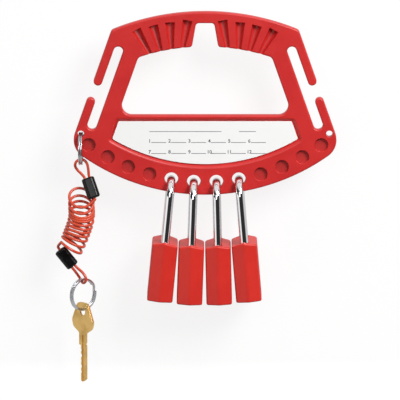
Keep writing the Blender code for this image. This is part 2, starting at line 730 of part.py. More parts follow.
def shackle_mesh():
    """Toe leg, crown and heel leg, with a ball notch in each leg and a flat on the heel for the retainer."""
    steps = arc_steps(CROWN_RADIUS, math.pi)
    crown = [Vector((0, *(CROWN_RADIUS * unit(math.pi * (1 - step / steps))))) for step in range(steps + 1)]
    toe = [Vector((0, -CROWN_RADIUS, TOE_END + level)) for level in (0, LEG_CHAMFER)]
    heel = [Vector((0, CROWN_RADIUS, HEEL_END + level)) for level in (LEG_CHAMFER, 0)]
    radii = [WIRE_RADIUS] * (len(crown) + 4)
    radii[0] = radii[-1] = WIRE_RADIUS - LEG_CHAMFER
    flat_high = RETAINER_LEVEL + RETAINER_RADIUS + GAP
    flat_low = RETAINER_LEVEL - OPEN_TRAVEL - RETAINER_RADIUS - GAP
    flat = block(
        (-2 * WIRE_RADIUS, LEG_INSIDE - OVERSHOOT, flat_low),
        (2 * WIRE_RADIUS, RETAINER_PLACE + RETAINER_RADIUS + GAP, flat_high),
    )
    return carved(tube(toe + crown + heel, radii), ball_notch(-1), ball_notch(1), flat)


def retainer_mesh():
    ends = [(end, RETAINER_PLACE, RETAINER_LEVEL) for end in (-RETAINER_HALF_LENGTH, RETAINER_HALF_LENGTH)]
    return rod(*ends, RETAINER_RADIUS)


def spring_mesh():
    """The coil spring under the heel leg."""
    sides, turn_steps = 4, 8
    radius = WIRE_RADIUS - SPRING_WIRE
    high, low = HEEL_END - GAP - SPRING_WIRE, SPRING_SEAT + GAP + SPRING_WIRE
    count = SPRING_TURNS * turn_steps
    path = []
    for step in range(count + 1):
        across = radius * unit(math.tau * step / turn_steps)
        path.append(Vector((across.x, CROWN_RADIUS + across.y, high + (low - high) * step / count)))
    return tube(path, [SPRING_WIRE] * len(path), sides)


def make_padlocks():
    meshes = {
        "shackle": (shackle_mesh(), "chrome"),
        "lock_body": (body_mesh(), "lock_plastic"),
        "base_cover": (cover_mesh(), "lock_plastic"),
        "lock_case": (case_mesh(), "zinc"),
        "key_plug": (plug_mesh(), "brass"),
        "cam": (cam_mesh(), "steel"),
        "front_ball": (ball_mesh(-1), "steel"),
        "rear_ball": (ball_mesh(1), "steel"),
        "heel_retainer": (retainer_mesh(), "steel"),
        "shackle_spring": (spring_mesh(), "steel"),
    }
    # The crown bears on the two rims of the hole's lower side.
    crown_drop = LOCK_HOLE_RADIUS + math.sqrt(CROWN_INSIDE**2 - FRONT**2) - GAP
    # The locks hang straight down, unless their shoulders push them apart.
    first_open = (LOCK_POINTS - OPEN_POINTS) // 2
    pitch = (lock_point(first_open + 1) - lock_point(first_open)).length
    crowding = max(0, LOCK_WIDTH + SHOULDER_GAP - pitch)
    fan = 2 * math.asin(crowding / 2 / (crown_drop + LEG_LENGTH + TOP_DROP))
    for number in range(1, OPEN_POINTS + 1):
        hole = lock_point(first_open + number - 1)
        tilt = LOCK_LEAN + ((OPEN_POINTS + 1) / 2 - number) * fan
        crown = Vector((hole.x - math.sin(tilt) * crown_drop, 0, hole.y - math.cos(tilt) * crown_drop))
        frame = axis_frame(f"padlock_{number}_axis", crown, (0, tilt, 0))
        for name, (mesh, finish) in meshes.items():
            add(f"padlock_{number}_{name}", mesh, finish, frame)


# ---------------------------------------------------------------------------------------------------------------
# Lanyard: split ring, cord loop, ferrule, coil, ferrule, cord loop, split ring and key.

RING_MIDDLE = RING_RADIUS - RING_WIRE_HIGH / 2
RING_INSIDE = RING_RADIUS - RING_WIRE_HIGH


def smooth_path(points, step):
    """Points about one step apart on a smooth curve through the route's points."""
    route = [millimetres(point) for point in points]
    route = [2 * route[0] - route[1]] + route + [2 * route[-1] - route[-2]]
    fine = []
    for a, b, c, d in zip(route, route[1:], route[2:], route[3:]):
        for k in range(16):
            t = k / 16
            fine.append(0.5 * (2 * b + (c - a) * t + (2 * a - 5 * b + 4 * c - d) * t**2
                               + (3 * b - a - 3 * c + d) * t**3))
    fine.append(route[-2])
    lengths = [0.0]
    for first, second in zip(fine, fine[1:]):
        lengths.append(lengths[-1] + (second - first).length)
    count = max(2, round(lengths[-1] / step))
    path = []
    for k in range(count + 1):
        target = lengths[-1] * k / count
        after = next(i for i in range(1, len(fine)) if lengths[i] >= target - 1e-9)
        share = (target - lengths[after - 1]) / (lengths[after] - lengths[after - 1])
        path.append(fine[after - 1].lerp(fine[after], share))
    return path


def add_cord(name, path, radius, resolution):
    """A stretch of cord, or a coil's outer shape, as a round curve with filled ends."""
    curve = bpy.data.curves.new(name, "CURVE")
    curve.dimensions = "3D"
    curve.bevel_depth = radius
    curve.bevel_resolution = resolution
    curve.use_fill_caps = True
    spline = curve.splines.new("POLY")
    spline.points.add(len(path) - 1)
    for point, place in zip(spline.points, path):
        point.co = (*place, 1)
    curve.materials.append(material("cord_plastic"))
    piece = bpy.data.objects.new(name, curve)
    bpy.context.scene.collection.objects.link(piece)
    return piece


def ring_mesh():
    """A split ring about the X axis. The two ends of its wire meet where the wire crosses between the turns."""
    offset = (RING_WIRE_WIDE + RING_TURN_GAP) / 2
    first, last = RING_JOG, 2 * math.tau - RING_JOG
    steps = arc_steps(RING_RADIUS, last - first)
    angles = [first + (last - first) * step / steps for step in range(steps + 1)]
    rings = []
    for angle in angles:
        share = min(1, max(0, (angle - math.tau + RING_JOG) / (2 * RING_JOG)))
        middle = offset * (2 * share - 1)
        out = unit(angle)
        corners = [(middle + side * RING_WIRE_WIDE / 2, radius) for side, radius in (
            (-1, RING_INSIDE), (1, RING_INSIDE), (1, RING_RADIUS), (-1, RING_RADIUS))]
        rings.append([(x, radius * out.x, radius * out.y) for x, radius in corners])
    return solid(rings)


def ferrule_outline(inset):
    end = Straight((0, FERRULE_DEPTH / 2), math.pi / 2)
    side = Straight((FERRULE_WIDTH / 2, 0), 0)
    return outline([mirrored(end), side, end], [FERRULE_ROUND] * 2, inset)


def add_ferrule(name, ends):
    """A crimped oval sleeve from one point towards another."""
    start, end = (millimetres(point) for point in ends)
    mesh = slab(ferrule_outline, rounded(-FERRULE_LENGTH, 0, FERRULE_EDGE), "Z")
    piece = add(name, mesh, "black_plastic")
    down = (end - start).normalized()
    across = (Vector((1, 0, 0)) - down.x * down).normalized()
    turn = Matrix((across, (-down).cross(across), -down)).transposed()
    piece.location = start
    piece.rotation_euler = turn.to_euler()


def key_outline(inset):
    """The whole key blank: tip, blade, neck, shoulders and bow."""
    point = Straight((0, KEY_TIP), math.radians(-55))
    blade = Straight((NECK_HALF_WIDTH, 0), 0)
    shoulder = Straight((NECK_HALF_WIDTH, BOW_SHOULDER), BOW_SHOULDER_SLANT)
    lower = Straight((BOW_HALF_WIDTH, BOW_WIDEST), BOW_LOWER_SLANT)
    upper = Straight((BOW_HALF_WIDTH, BOW_WIDEST), BOW_UPPER_SLANT)
    tip = Straight((0, KEY_TIP + 0.4 * MM), -math.pi / 2)
    top = Straight((0, KEY_TOP), math.pi / 2)
    small = 2 * KEY_EDGE
    radii = [small, small, -3 * small, BOW_ROUND, BOW_ROUND, BOW_ROUND]
    return outline([tip, point, blade, shoulder, lower, upper, top], radii, inset)


def bitting_cutter(number, depth):
    """A V-shaped cut in the edge of the blade."""
    middle = SHOULDER_HEIGHT - BITTING_FIRST - number * BITTING_PITCH
    edge = -NECK_HALF_WIDTH + SHOULDER_STEP
    bottom = BITTING_HALF_WIDTH / 3
    corners = [
        (edge - OVERSHOOT, middle - BITTING_HALF_WIDTH - OVERSHOOT), (edge + depth, middle - bottom),
        (edge + depth, middle + bottom), (edge - OVERSHOOT, middle + BITTING_HALF_WIDTH + OVERSHOOT),
    ]
    return solid([[(x, level, z) for x, z in corners] for level in (-KEY_THICKNESS, KEY_THICKNESS)])


def key_mesh():
    """The key, with its hole at the origin."""
    blank = slab(key_outline, rounded(-KEY_THICKNESS / 2, KEY_THICKNESS / 2, KEY_EDGE, steps=1))
    hole = slab(circle(0, 0, KEY_HOLE_RADIUS), [(-KEY_THICKNESS, 0), (KEY_THICKNESS, 0)])
    step = block(
        (-NECK_HALF_WIDTH - OVERSHOOT, -KEY_THICKNESS, KEY_TIP - OVERSHOOT),
        (-NECK_HALF_WIDTH + SHOULDER_STEP, KEY_THICKNESS, SHOULDER_HEIGHT),
    )
    grooves = []
    for side in (-1, 1):
        floor, face = side * (KEY_THICKNESS / 2 - GROOVE_DEPTH), side * KEY_THICKNESS
        middle = side * GROOVE_OFFSET
        grooves.append(block(
            (middle - GROOVE_WIDTH / 2, min(floor, face), KEY_TIP - OVERSHOOT),
            (middle + GROOVE_WIDTH / 2, max(floor, face), SHOULDER_HEIGHT + 2 * BITTING_FIRST),
        ))
    cuts = [bitting_cutter(number, depth) for number, depth in enumerate(BITTING_DEPTHS)]
    return carved(blank, hole, step, joined(grooves), joined(cuts))


def make_lanyard():
    hole = lanyard_hole(-1)
    half_stack = RING_WIRE_WIDE + RING_TURN_GAP / 2
    seat = math.sqrt(LANYARD_HOLE_RADIUS**2 - half_stack**2) - GAP
    ring_drop = seat + math.sqrt(RING_INSIDE**2 - FRONT**2)
    ring = ring_mesh()
    upper_axis = axis_frame("ring_axis", (hole.x, 0, hole.y))
    piece = add("upper_ring", ring, "steel", upper_axis)
    piece.location = (0, 0, -ring_drop)
    piece.rotation_euler = (math.radians(70), 0, 0)

    add_cord("upper_cord_loop", smooth_path(UPPER_LOOP, CORD_POINT_STEP / 2), CORD_RADIUS, 2)
    add_ferrule("upper_ferrule", UPPER_FERRULE)
    add_cord("cord_coil", smooth_path(COIL_AXIS, COIL_POINT_STEP), COIL_RADIUS, 4)
    add_ferrule("lower_ferrule", LOWER_FERRULE)
    add_cord("lower_cord_loop", smooth_path(LOWER_LOOP, CORD_POINT_STEP / 2), CORD_RADIUS, 2)

    # The lower ring hangs in the lowest bend of its loop, and the key on the lowest point of the ring.
    bend = millimetres(min(LOWER_LOOP, key=lambda point: point[2]))
    wire_middle = bend + Vector((0, 0, CORD_RADIUS + RING_SEAT + RING_WIRE_HIGH / 2))
    lower_axis = axis_frame("lower_ring_axis", wire_middle, (0, 0, RING_TURN))
    piece = add("lower_ring", ring, "steel", lower_axis)
    piece.location = (0, 0, -RING_MIDDLE)
    piece.rotation_euler = (math.radians(20), 0, 0)

    key_axis = axis_frame("key_axis", wire_middle - Vector((0, 0, 2 * RING_MIDDLE)), (0, 0, RING_TURN))
    piece = add("key", key_mesh(), "brass", key_axis)
    piece.location = (0, 0, RING_WIRE_HIGH / 2 + GAP - math.sqrt(KEY_HOLE_RADIUS**2 - half_stack**2))


def clear_scene():
    for item in list(bpy.data.objects):
        bpy.data.objects.remove(item)


clear_scene()
make_plate()
make_label()
make_padlocks()
make_lanyard()
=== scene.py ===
# %% [markdown]
# # A padlock carrier, four safety padlocks and a key on a curly cord
#
# A lock-out carrier is a moulded plate that an electrician hangs on a hook. It has a grip, a label to
# write on, and a row of lock points with padlocks in them. The lanyard at its left corner keeps a key.
# The script loads the construction model first. Each piece below takes its place from that model, is
# shaped with Blender's own operators, gets a finish, and rides on the body that it belongs to.

# %% Load the construction model
import json
import math

import bmesh
import bpy
from mathutils import Matrix, Quaternion, Vector

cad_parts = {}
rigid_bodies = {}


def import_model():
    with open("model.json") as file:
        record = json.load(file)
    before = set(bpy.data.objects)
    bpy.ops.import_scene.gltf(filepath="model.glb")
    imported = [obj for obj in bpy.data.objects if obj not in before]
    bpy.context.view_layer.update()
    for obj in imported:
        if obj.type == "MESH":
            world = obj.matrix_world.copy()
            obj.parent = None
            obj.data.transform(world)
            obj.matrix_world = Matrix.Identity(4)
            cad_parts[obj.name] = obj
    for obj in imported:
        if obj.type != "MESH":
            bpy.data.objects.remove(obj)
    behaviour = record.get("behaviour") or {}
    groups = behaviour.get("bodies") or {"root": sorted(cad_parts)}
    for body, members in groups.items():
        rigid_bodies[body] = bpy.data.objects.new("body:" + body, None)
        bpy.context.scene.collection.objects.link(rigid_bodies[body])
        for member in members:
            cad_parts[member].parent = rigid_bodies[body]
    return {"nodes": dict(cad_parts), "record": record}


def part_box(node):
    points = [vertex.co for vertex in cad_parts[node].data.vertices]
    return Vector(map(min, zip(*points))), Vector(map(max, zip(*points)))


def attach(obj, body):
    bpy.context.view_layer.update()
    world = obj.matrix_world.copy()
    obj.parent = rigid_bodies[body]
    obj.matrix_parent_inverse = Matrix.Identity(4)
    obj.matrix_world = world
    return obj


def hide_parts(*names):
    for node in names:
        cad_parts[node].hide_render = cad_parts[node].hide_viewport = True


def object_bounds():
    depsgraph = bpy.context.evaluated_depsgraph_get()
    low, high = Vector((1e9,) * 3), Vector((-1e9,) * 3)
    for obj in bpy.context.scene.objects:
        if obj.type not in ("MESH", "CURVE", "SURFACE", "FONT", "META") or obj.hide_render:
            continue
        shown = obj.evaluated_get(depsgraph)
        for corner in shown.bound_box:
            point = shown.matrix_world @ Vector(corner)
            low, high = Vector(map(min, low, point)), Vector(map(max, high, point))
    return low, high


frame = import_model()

MM = 0.001
GAP = 0.3 * MM  # between pieces that touch


def mm(*lengths):
    """Lengths that are given in millimetres."""
    return [length * MM for length in lengths]


cad_low, cad_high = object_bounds()
print("box of the model, in mm:", [round(side / MM, 1) for side in cad_high - cad_low])


def joint(name):
    """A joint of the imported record."""
    return next(item for item in frame["record"]["behaviour"]["joints"] if item["name"] == name)


# %% [markdown]
# ## Camera
#
# A very long lens from eight metres away keeps parallel sides parallel, as in a catalogue. It looks
# slightly down, so the tops of the padlocks show. It aims at a place measured from the plate's own box.

# %% The camera
plate_low, plate_high = (Vector(corner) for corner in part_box("carrier_plate"))
CAMERA_AWAY, CAMERA_RISE, LENS = 8.0, math.radians(11.0), 952.0
AIM_RIGHT, AIM_DOWN = mm(95.4, 4.5)  # from the lower left corner of the plate's box
AIM = Vector((plate_low.x + AIM_RIGHT, 0, plate_low.z - AIM_DOWN))
toward_camera = Vector((0, -math.cos(CAMERA_RISE), math.sin(CAMERA_RISE)))

bpy.ops.object.select_all(action="DESELECT")
bpy.ops.object.camera_add(location=AIM + CAMERA_AWAY * toward_camera)
camera = bpy.context.object
camera.rotation_euler = toward_camera.to_track_quat("Z", "Y").to_euler()
camera.data.lens = LENS
camera.data.clip_end = 2.5 * CAMERA_AWAY
bpy.context.scene.camera = camera
print("camera aims at, in mm:", [round(value / MM, 1) for value in AIM])

# %% [markdown]
# ## The curly cord
#
# The cord is one length of coloured plastic, 2.1 mm thick. It makes a loop round the upper ring, goes
# back through a black sleeve, runs down in a coil, and ends in a second loop and sleeve at the lower
# ring. The two loops are short lists of given points. The coil is worked out turn by turn: its
# middle follows a curved axis, and its turns lie back at the top, where the sleeve pushes them, and hang
# sideways below.

# %% Points along the cord
CORD_RADIUS, COIL_RADIUS = mm(1.05, 9.15)
COIL_TURNS, TURN_STEPS = 11.5, 36

UPPER_LOOP = [
    (-91.0, 0.0, -119.6), (-91.7, 0.2, -118.2), (-93.7, 0.1, -115.9), (-96.6, 0.0, -112.9),
    (-98.2, 0.0, -110.0), (-97.7, 0.0, -107.3), (-95.8, 0.0, -105.5), (-93.3, 0.0, -105.1),
    (-91.0, 0.0, -105.9), (-89.3, 0.0, -108.1), (-88.5, 0.0, -111.2), (-88.1, 0.1, -114.6),
    (-87.9, 0.3, -117.0), (-87.4, 0.2, -118.9),
]
COIL_AXIS = [
    (-93.6, -3.0, -136.0), (-93.5, -1.1, -141.0), (-93.3, 0.0, -146.3), (-93.8, 0.0, -151.3),
    (-95.3, 0.0, -156.8), (-97.3, 0.0, -162.2), (-99.6, 0.0, -167.9), (-102.1, 0.0, -173.6),
]
LOWER_LOOP = [
    (-101.1, 0.0, -187.8), (-100.0, 0.1, -189.2), (-97.9, 1.4, -192.2), (-96.0, 2.9, -195.2),
    (-94.8, 3.4, -197.2), (-93.9, 2.6, -199.0), (-92.4, 0.0, -200.2), (-90.9, -2.6, -199.0),
    (-90.1, -3.4, -196.9), (-90.9, -3.1, -194.2), (-93.1, -2.0, -191.4), (-96.0, -0.7, -189.1),
    (-97.8, -0.1, -187.4), (-98.9, 0.0, -186.0),
]
UPPER_FERRULE = (Vector((-88.7, 0.0, -119.9)) * MM, Vector((-83.8, -3.5, -133.9)) * MM)
LOWER_FERRULE = (Vector((-109.4, 0.0, -175.2)) * MM, Vector((-100.6, 0.0, -186.2)) * MM)


def blend(stops, share):
    """The value at this share of the way through evenly spaced stops, eased between them."""
    place = min(max(share, 0), 1) * (len(stops) - 1)
    first = min(int(place), len(stops) - 2)
    rest = place - first
    rest = rest * rest * (3 - 2 * rest)
    return stops[first] * (1 - rest) + stops[first + 1] * rest


def smooth(points, between):
    """Points on a smooth curve through these ones, with this many steps between neighbours."""
    line = [2 * points[0] - points[1]] + points + [2 * points[-1] - points[-2]]
    fine = []
    for a, b, c, d in zip(line, line[1:], line[2:], line[3:]):
        for step in range(between):
            t = step / between
            fine.append(0.5 * (
                2 * b + (c - a) * t + (2 * a - 5 * b + 4 * c - d) * t**2 + (3 * b - a - 3 * c + d) * t**3
            ))
    return fine + [points[-1]]


# %% The turns of the coil
LEAN_BACK = [58, 55, 47, 36, 24, 16, 9, 5, 4, 3, 2, 1, 0]  # degrees, turn by turn
LEAN_SIDE = [3, 5, 5, 4, 3, 8, 14, 15, 16, 19, 25, 32, 37]
TURN_ROOM = [2.2, 3.6, 3.2, 3.2, 3.6, 4.6, 3.7, 2.9, 3.0, 3.2, 3.6, 4.2, 4.2]
START_LIFT = 3.8 * MM  # the first turn rises beside the sleeve

axis_line = [Vector(point) * MM for point in COIL_AXIS]
axis_line[0] += Vector((0, 1.5 * MM, START_LIFT))
axis_line = smooth(axis_line, 24)


def coil_points():
    """Points along the turns, clockwise as seen from above, from the right side of the first turn."""
    count = round(COIL_TURNS * TURN_STEPS)
    room = [blend(TURN_ROOM, step / count) for step in range(count + 1)]
    reach = [sum(room[:step]) / sum(room) for step in range(count + 1)]
    turns = []
    for step in range(count + 1):
        share = step / count
        place = reach[step] * (len(axis_line) - 1)
        low = min(int(place), len(axis_line) - 2)
        middle = axis_line[low].lerp(axis_line[low + 1], place - low)
        back, side = (math.radians(blend(stops, share)) for stops in (LEAN_BACK, LEAN_SIDE))
        across = Vector((math.cos(side), 0, -math.sin(side)))
        forward = Vector((0, -math.cos(back), -math.sin(back)))
        angle = math.tau * step / TURN_STEPS
        turns.append(middle + COIL_RADIUS * (math.cos(angle) * across + math.sin(angle) * forward))
    return turns


# %% The whole cord, as one curve
START_STEP, END_STEP = 5, 2  # steps of the first and last turn that give way to the bends into the sleeves


def ahead(start, way, *steps):
    """Points that lie these steps, in mm, from a start along a way."""
    return [start + way * step * MM for step in steps]


def poly_curve(name, points):
    """A curve of straight steps through these points."""
    data = bpy.data.curves.new(name, "CURVE")
    data.dimensions = "3D"
    spline = data.splines.new("POLY")
    spline.points.add(len(points) - 1)
    for point, place in zip(spline.points, points):
        point.co = (*place, 1)
    made = bpy.data.objects.new(name, data)
    bpy.context.scene.collection.objects.link(made)
    return made


up_along, low_along = ((end - start).normalized() for start, end in (UPPER_FERRULE, LOWER_FERRULE))
upper_loop, lower_loop = ([Vector(point) * MM for point in loop] for loop in (UPPER_LOOP, LOWER_LOOP))
turns = coil_points()

head = ahead(upper_loop[0], up_along, 8, 4) + upper_loop + ahead(upper_loop[-1], up_along, 5)
head += ahead(UPPER_FERRULE[1], up_along, -4, 0)
head += [ahead(UPPER_FERRULE[1], up_along, 1.4)[0] + Vector((0, -0.3 * MM, 0))]
tail = [Vector((-111.3, 0.9, -172.2)) * MM] + ahead(LOWER_FERRULE[0], low_along, -0.6, 4)
tail += ahead(lower_loop[0], low_along, -3) + lower_loop + ahead(lower_loop[-1], low_along, -4, -8)

route = smooth(head + turns[START_STEP:START_STEP + 1], 5)[:-1]
route += turns[START_STEP:len(turns) - END_STEP]
route += smooth(turns[-END_STEP - 1:-END_STEP] + tail, 5)[1:]
cord_length = sum((after - before).length for before, after in zip(route, route[1:]))
print("cord:", len(route), "points,", round(cord_length, 3), "m long")

curly_cord = poly_curve("curly_cord", route)
curly_cord.data.bevel_depth = CORD_RADIUS
curly_cord.data.bevel_resolution = 5
curly_cord.data.use_fill_caps = True
curly_cord.data.splines[0].use_smooth = True

# %% [markdown]
# ## Working as by hand
#
# Each piece starts as a primitive or a drawn outline and is shaped in edit mode. An operator acts on
# whatever is selected, so these few helpers select one object, or the faces and edges in one place, and
# nothing else.

# %% Selecting
TINY = 0.01 * MM  # a point this close to a place lies at it


def deselect():
    """Leave nothing selected, so that an operator acts on the next piece alone."""
    bpy.ops.object.select_all(action="DESELECT")


def only(piece):
    """Select this object alone."""
    deselect()
    piece.select_set(True)
    bpy.context.view_layer.objects.active = piece


def pick(piece, faces=None, edges=None):
    """Select the faces or edges that pass a test, or all faces, in edit mode. It returns how many."""
    only(piece)
    bpy.ops.object.mode_set(mode="EDIT")
    bpy.context.tool_settings.mesh_select_mode = (False, edges is not None, edges is None)
    bpy.ops.mesh.select_all(action="DESELECT")
    mesh = bmesh.from_edit_mesh(piece.data)
    mesh.normal_update()
    test = faces or edges or (lambda item: True)
    chosen = [item for item in (mesh.edges if edges else mesh.faces) if test(item)]
    for item in chosen:
        item.select_set(True)
    mesh.select_flush_mode()
    bmesh.update_edit_mesh(piece.data)
    return len(chosen)


def leave():
    bpy.ops.object.mode_set(mode="OBJECT")


# %% Making a piece
def new_piece(name):
    """The primitive that was just added, under its own name."""
    piece = bpy.context.object
    piece.name = piece.data.name = name
    return piece


def place_mesh(piece, matrix):
    """Move the mesh itself, so that the object stays at the origin, unturned."""
    piece.data.transform(matrix)
    piece.matrix_world = Matrix.Identity(4)
    piece.data.update()


def settled(name):
    """The primitive that was just added, under its own name, with its place and turn put into its mesh."""
    piece = new_piece(name)
    bpy.context.view_layer.update()
    place_mesh(piece, piece.matrix_world.copy())
    return piece


def pull(x, y, z):
    """Extrude what is selected."""
    bpy.ops.mesh.extrude_region_move(TRANSFORM_OT_translate={"value": (x, y, z)})


def face_outward(piece):
    """Turn the faces of a closed piece outward."""
    pick(piece)
    bpy.ops.mesh.normals_make_consistent(inside=False)
    leave()


def drawn(name, points, way):
    """A slab with this outline: a face drawn through the points, and pulled out along a way."""
    mesh = bpy.data.meshes.new(name)
    mesh.from_pydata(points, [], [list(range(len(points)))])
    piece = bpy.data.objects.new(name, mesh)
    bpy.context.scene.collection.objects.link(piece)
    pick(piece)
    pull(*way)
    leave()
    face_outward(piece)
    return piece


# %% Cutting, rounding and shading
MERGE = 0.002 * MM  # points this close are one point
SMOOTH_BELOW = math.radians(35.0)  # an edge that turns by less is shaded smooth


def modify(piece, kind, **settings):
    """Add a modifier with these settings and apply it."""
    only(piece)
    modifier = piece.modifiers.new(kind.title(), kind)
    for name, value in settings.items():
        setattr(modifier, name, value)
    bpy.ops.object.modifier_apply(modifier=modifier.name)


def merge(piece):
    """Make points that lie together one point."""
    pick(piece)
    bpy.ops.mesh.remove_doubles(threshold=MERGE)
    leave()


def join(name, pieces):
    """Several pieces as one object."""
    only(pieces[0])
    for piece in pieces:
        piece.select_set(True)
    if len(pieces) > 1:
        bpy.ops.object.join()
    return new_piece(name)


def cut(piece, *tools):
    """Take the tools' shapes, which lie apart, out of the piece in one go, and throw the tools away."""
    tool = join("tool", tools)
    modify(piece, "BOOLEAN", object=tool, operation="DIFFERENCE", solver="EXACT")
    bpy.data.objects.remove(tool)
    merge(piece)


def round_edges(piece, test, width, segments):
    """Round the edges that pass a test."""
    count = pick(piece, edges=test)
    bpy.ops.mesh.bevel(
        offset=width, segments=segments, affect="EDGES", clamp_overlap=False, loop_slide=False
    )
    leave()
    return count


def dress(piece, *finishes):
    """Give a piece its finishes, and smooth shading with the flat faces kept flat."""
    piece.data.materials.clear()
    for finish in finishes:
        piece.data.materials.append(finish)
    only(piece)
    bpy.ops.object.shade_smooth_by_angle(angle=SMOOTH_BELOW)
    modify(piece, "WEIGHTED_NORMAL", keep_sharp=True, weight=80)


# %% [markdown]
# ## Finishes
#
# Shader maths is easier to read as a sum than as a heap of nodes. A Wire is a node's output that can be
# added and multiplied, and a Finish is a material with one method that adds any node. Sizes in the
# patterns are in metres, because they read Object coordinates.

# %% Wires and finishes
WHITE = (1, 1, 1, 1)


def feed(tree, slot, value):
    """Link a wire to a node's input, or set the input's own value."""
    if isinstance(value, Wire):
        tree.links.new(value.socket, slot)
    else:
        slot.default_value = value


class Wire:
    """A node's output, for use in sums. Each sum adds a Math node."""

    def __init__(self, tree, socket):
        self.tree, self.socket = tree, socket

    def math(self, operation, first, second):
        node = self.tree.nodes.new("ShaderNodeMath")
        node.operation = operation
        feed(self.tree, node.inputs[0], first)
        feed(self.tree, node.inputs[1], second)
        return Wire(self.tree, node.outputs[0])

    def __add__(self, other):
        return self.math("ADD", self, other)

    def __sub__(self, other):
        return self.math("SUBTRACT", self, other)

    def __rsub__(self, other):
        return self.math("SUBTRACT", other, self)

    def __mul__(self, other):
        return self.math("MULTIPLY", self, other)

    __radd__, __rmul__ = __add__, __mul__


class Shading:
    """Nodes of a material or of the world."""

    def __init__(self, owner):
        owner.use_nodes = True
        self.tree = owner.node_tree

    def put(self, node, values):
        for name, value in values.items():
            feed(self.tree, node.inputs[name], value)

    def node(self, kind, settings, values, output=0):
        node = self.tree.nodes.new(kind)
        for name, value in settings.items():
            setattr(node, name, value)
        self.put(node, values)
        return Wire(self.tree, node.outputs[output])

    def mask(self, wire, low, high):
        """0 below low, 1 above high, and smooth between."""
        return self.node(
            "ShaderNodeMapRange", {"interpolation_type": "SMOOTHSTEP"},
            {"Value": wire, "From Min": low, "From Max": high},
        )

    def mix(self, share, first, second):
        """Two colours mixed by a wire."""
        colours = {0: share, 6: (*first, 1), 7: (*second, 1)}
        return self.node("ShaderNodeMix", {"data_type": "RGBA"}, colours, 2)


class Finish(Shading):
    """A material. Its shader's sockets are set by name, with numbers, colours or wires."""

    def __init__(self, name):
        self.material = bpy.data.materials.new(name)
        super().__init__(self.material)
        self.shader = self.tree.nodes["Principled BSDF"]
        self.place = self.node("ShaderNodeTexCoord", {}, {}, "Object")

    def noise(self, scale, detail=2.0, roughness=0.5, stretch=(1, 1, 1)):
        """Cloudy noise from 0 to 1, with this many patches to a metre."""
        place = self.node("ShaderNodeMapping", {}, {"Vector": self.place, "Scale": stretch})
        values = {"Vector": place, "Scale": scale, "Detail": detail, "Roughness": roughness}
        return self.node("ShaderNodeTexNoise", {}, values)

    def bump(self, height, distance):
        return self.node("ShaderNodeBump", {}, {"Height": height, "Distance": distance}, "Normal")

    def set(self, **values):
        self.put(self.shader, {name.replace("_", " "): value for name, value in values.items()})
        return self.material


# %% [markdown]
# ### Moulded plastic
#
# The plate and the padlock bodies are moulded in the same kind of red plastic. Up close such plastic has
# a fine orange-peel skin, clouds in its colour so faint that they are felt more than seen, and short rubs
# where it was handled. The rubs change only the roughness, so they show in a highlight and nowhere else.

# %% Red plastics
def moulded(name, light, dark, roughness, peel):
    finish = Finish(name)
    clouds = finish.mask(finish.noise(45.0, 3.0), 0.35, 0.65)
    rubs = finish.mask(finish.noise(260.0, 4.0, 0.6, (1, 1, 0.25)), 0.56, 0.74)
    grain = finish.noise(1500.0, 2.0)
    waves = finish.noise(170.0, 1.0)
    return finish.set(
        Base_Color=finish.mix(clouds, dark, light),
        Roughness=roughness + rubs * 0.12 + grain * 0.08,
        Normal=finish.bump(grain * 0.6 + waves, peel),
    )


carrier_red = moulded("carrier_plastic", (0.595, 0.021, 0.019), (0.555, 0.017, 0.016), 0.34, 0.05 * MM)
# The thin webs get a darker red, which is painted shade on the floors of the closed lock points; their
# rougher finish is real.
web_painted_shade_red = moulded("thin_web_painted_shade", (0.47, 0.018, 0.017), (0.42, 0.015, 0.014), 0.42, 0.05 * MM)
lock_red = moulded("padlock_plastic", (0.65, 0.024, 0.014), (0.61, 0.020, 0.012), 0.36, 0.03 * MM)

# %% [markdown]
# ### Metals, card, cord and sleeves
#
# Chrome is a smooth mirror with hairline scratches. The split rings are of a darker, rougher steel. The
# key is soft brass that has dulled where fingers hold it. The cord has a thin gloss over a soft body, and
# the sleeves are hard black plastic.

# %% The other finishes
def metal(name, light, dark, roughness, scratch, scratches=(1, 1, 1), amount=0.1):
    finish = Finish(name)
    stain = finish.mask(finish.noise(90.0, 4.0, 0.6), 0.42, 0.66)
    hairs = finish.noise(scratch, 2.0, 0.6, scratches)
    return finish.set(
        Base_Color=finish.mix(stain, light, dark),
        Metallic=1.0,
        Roughness=roughness + stain * amount * 0.6 + hairs * amount,
        Normal=finish.bump(hairs, 0.006 * MM),
    )


chrome = metal(
    "shackle_chrome", (0.88, 0.88, 0.89), (0.84, 0.84, 0.85), 0.03, 900.0, (1, 1, 0.05), 0.05
)
ring_steel = metal("ring_steel", (0.56, 0.57, 0.59), (0.46, 0.47, 0.49), 0.20, 1400.0, amount=0.06)
pin_steel = metal("pin_steel", (0.60, 0.60, 0.61), (0.50, 0.50, 0.51), 0.25, 1800.0, (1, 1, 0.1))
key_brass = metal("key_brass", (0.89, 0.585, 0.21), (0.75, 0.48, 0.16), 0.30, 2600.0, (1, 1, 0.2), 0.18)
plug_brass = metal("plug_brass", (0.68, 0.49, 0.20), (0.58, 0.40, 0.15), 0.25, 2200.0, (1, 1, 0.1))


def grained(name, first, second, clouds, grain, roughness, added, height, **others):
    """A finish in two cloudy colours, with a grain that roughens the surface and raises it."""
    finish = Finish(name)
    grain = finish.noise(*grain)
    return finish.set(
        Base_Color=finish.mix(finish.noise(*clouds), first, second),
        Roughness=roughness + grain * added, Normal=finish.bump(grain, height), **others,
    )


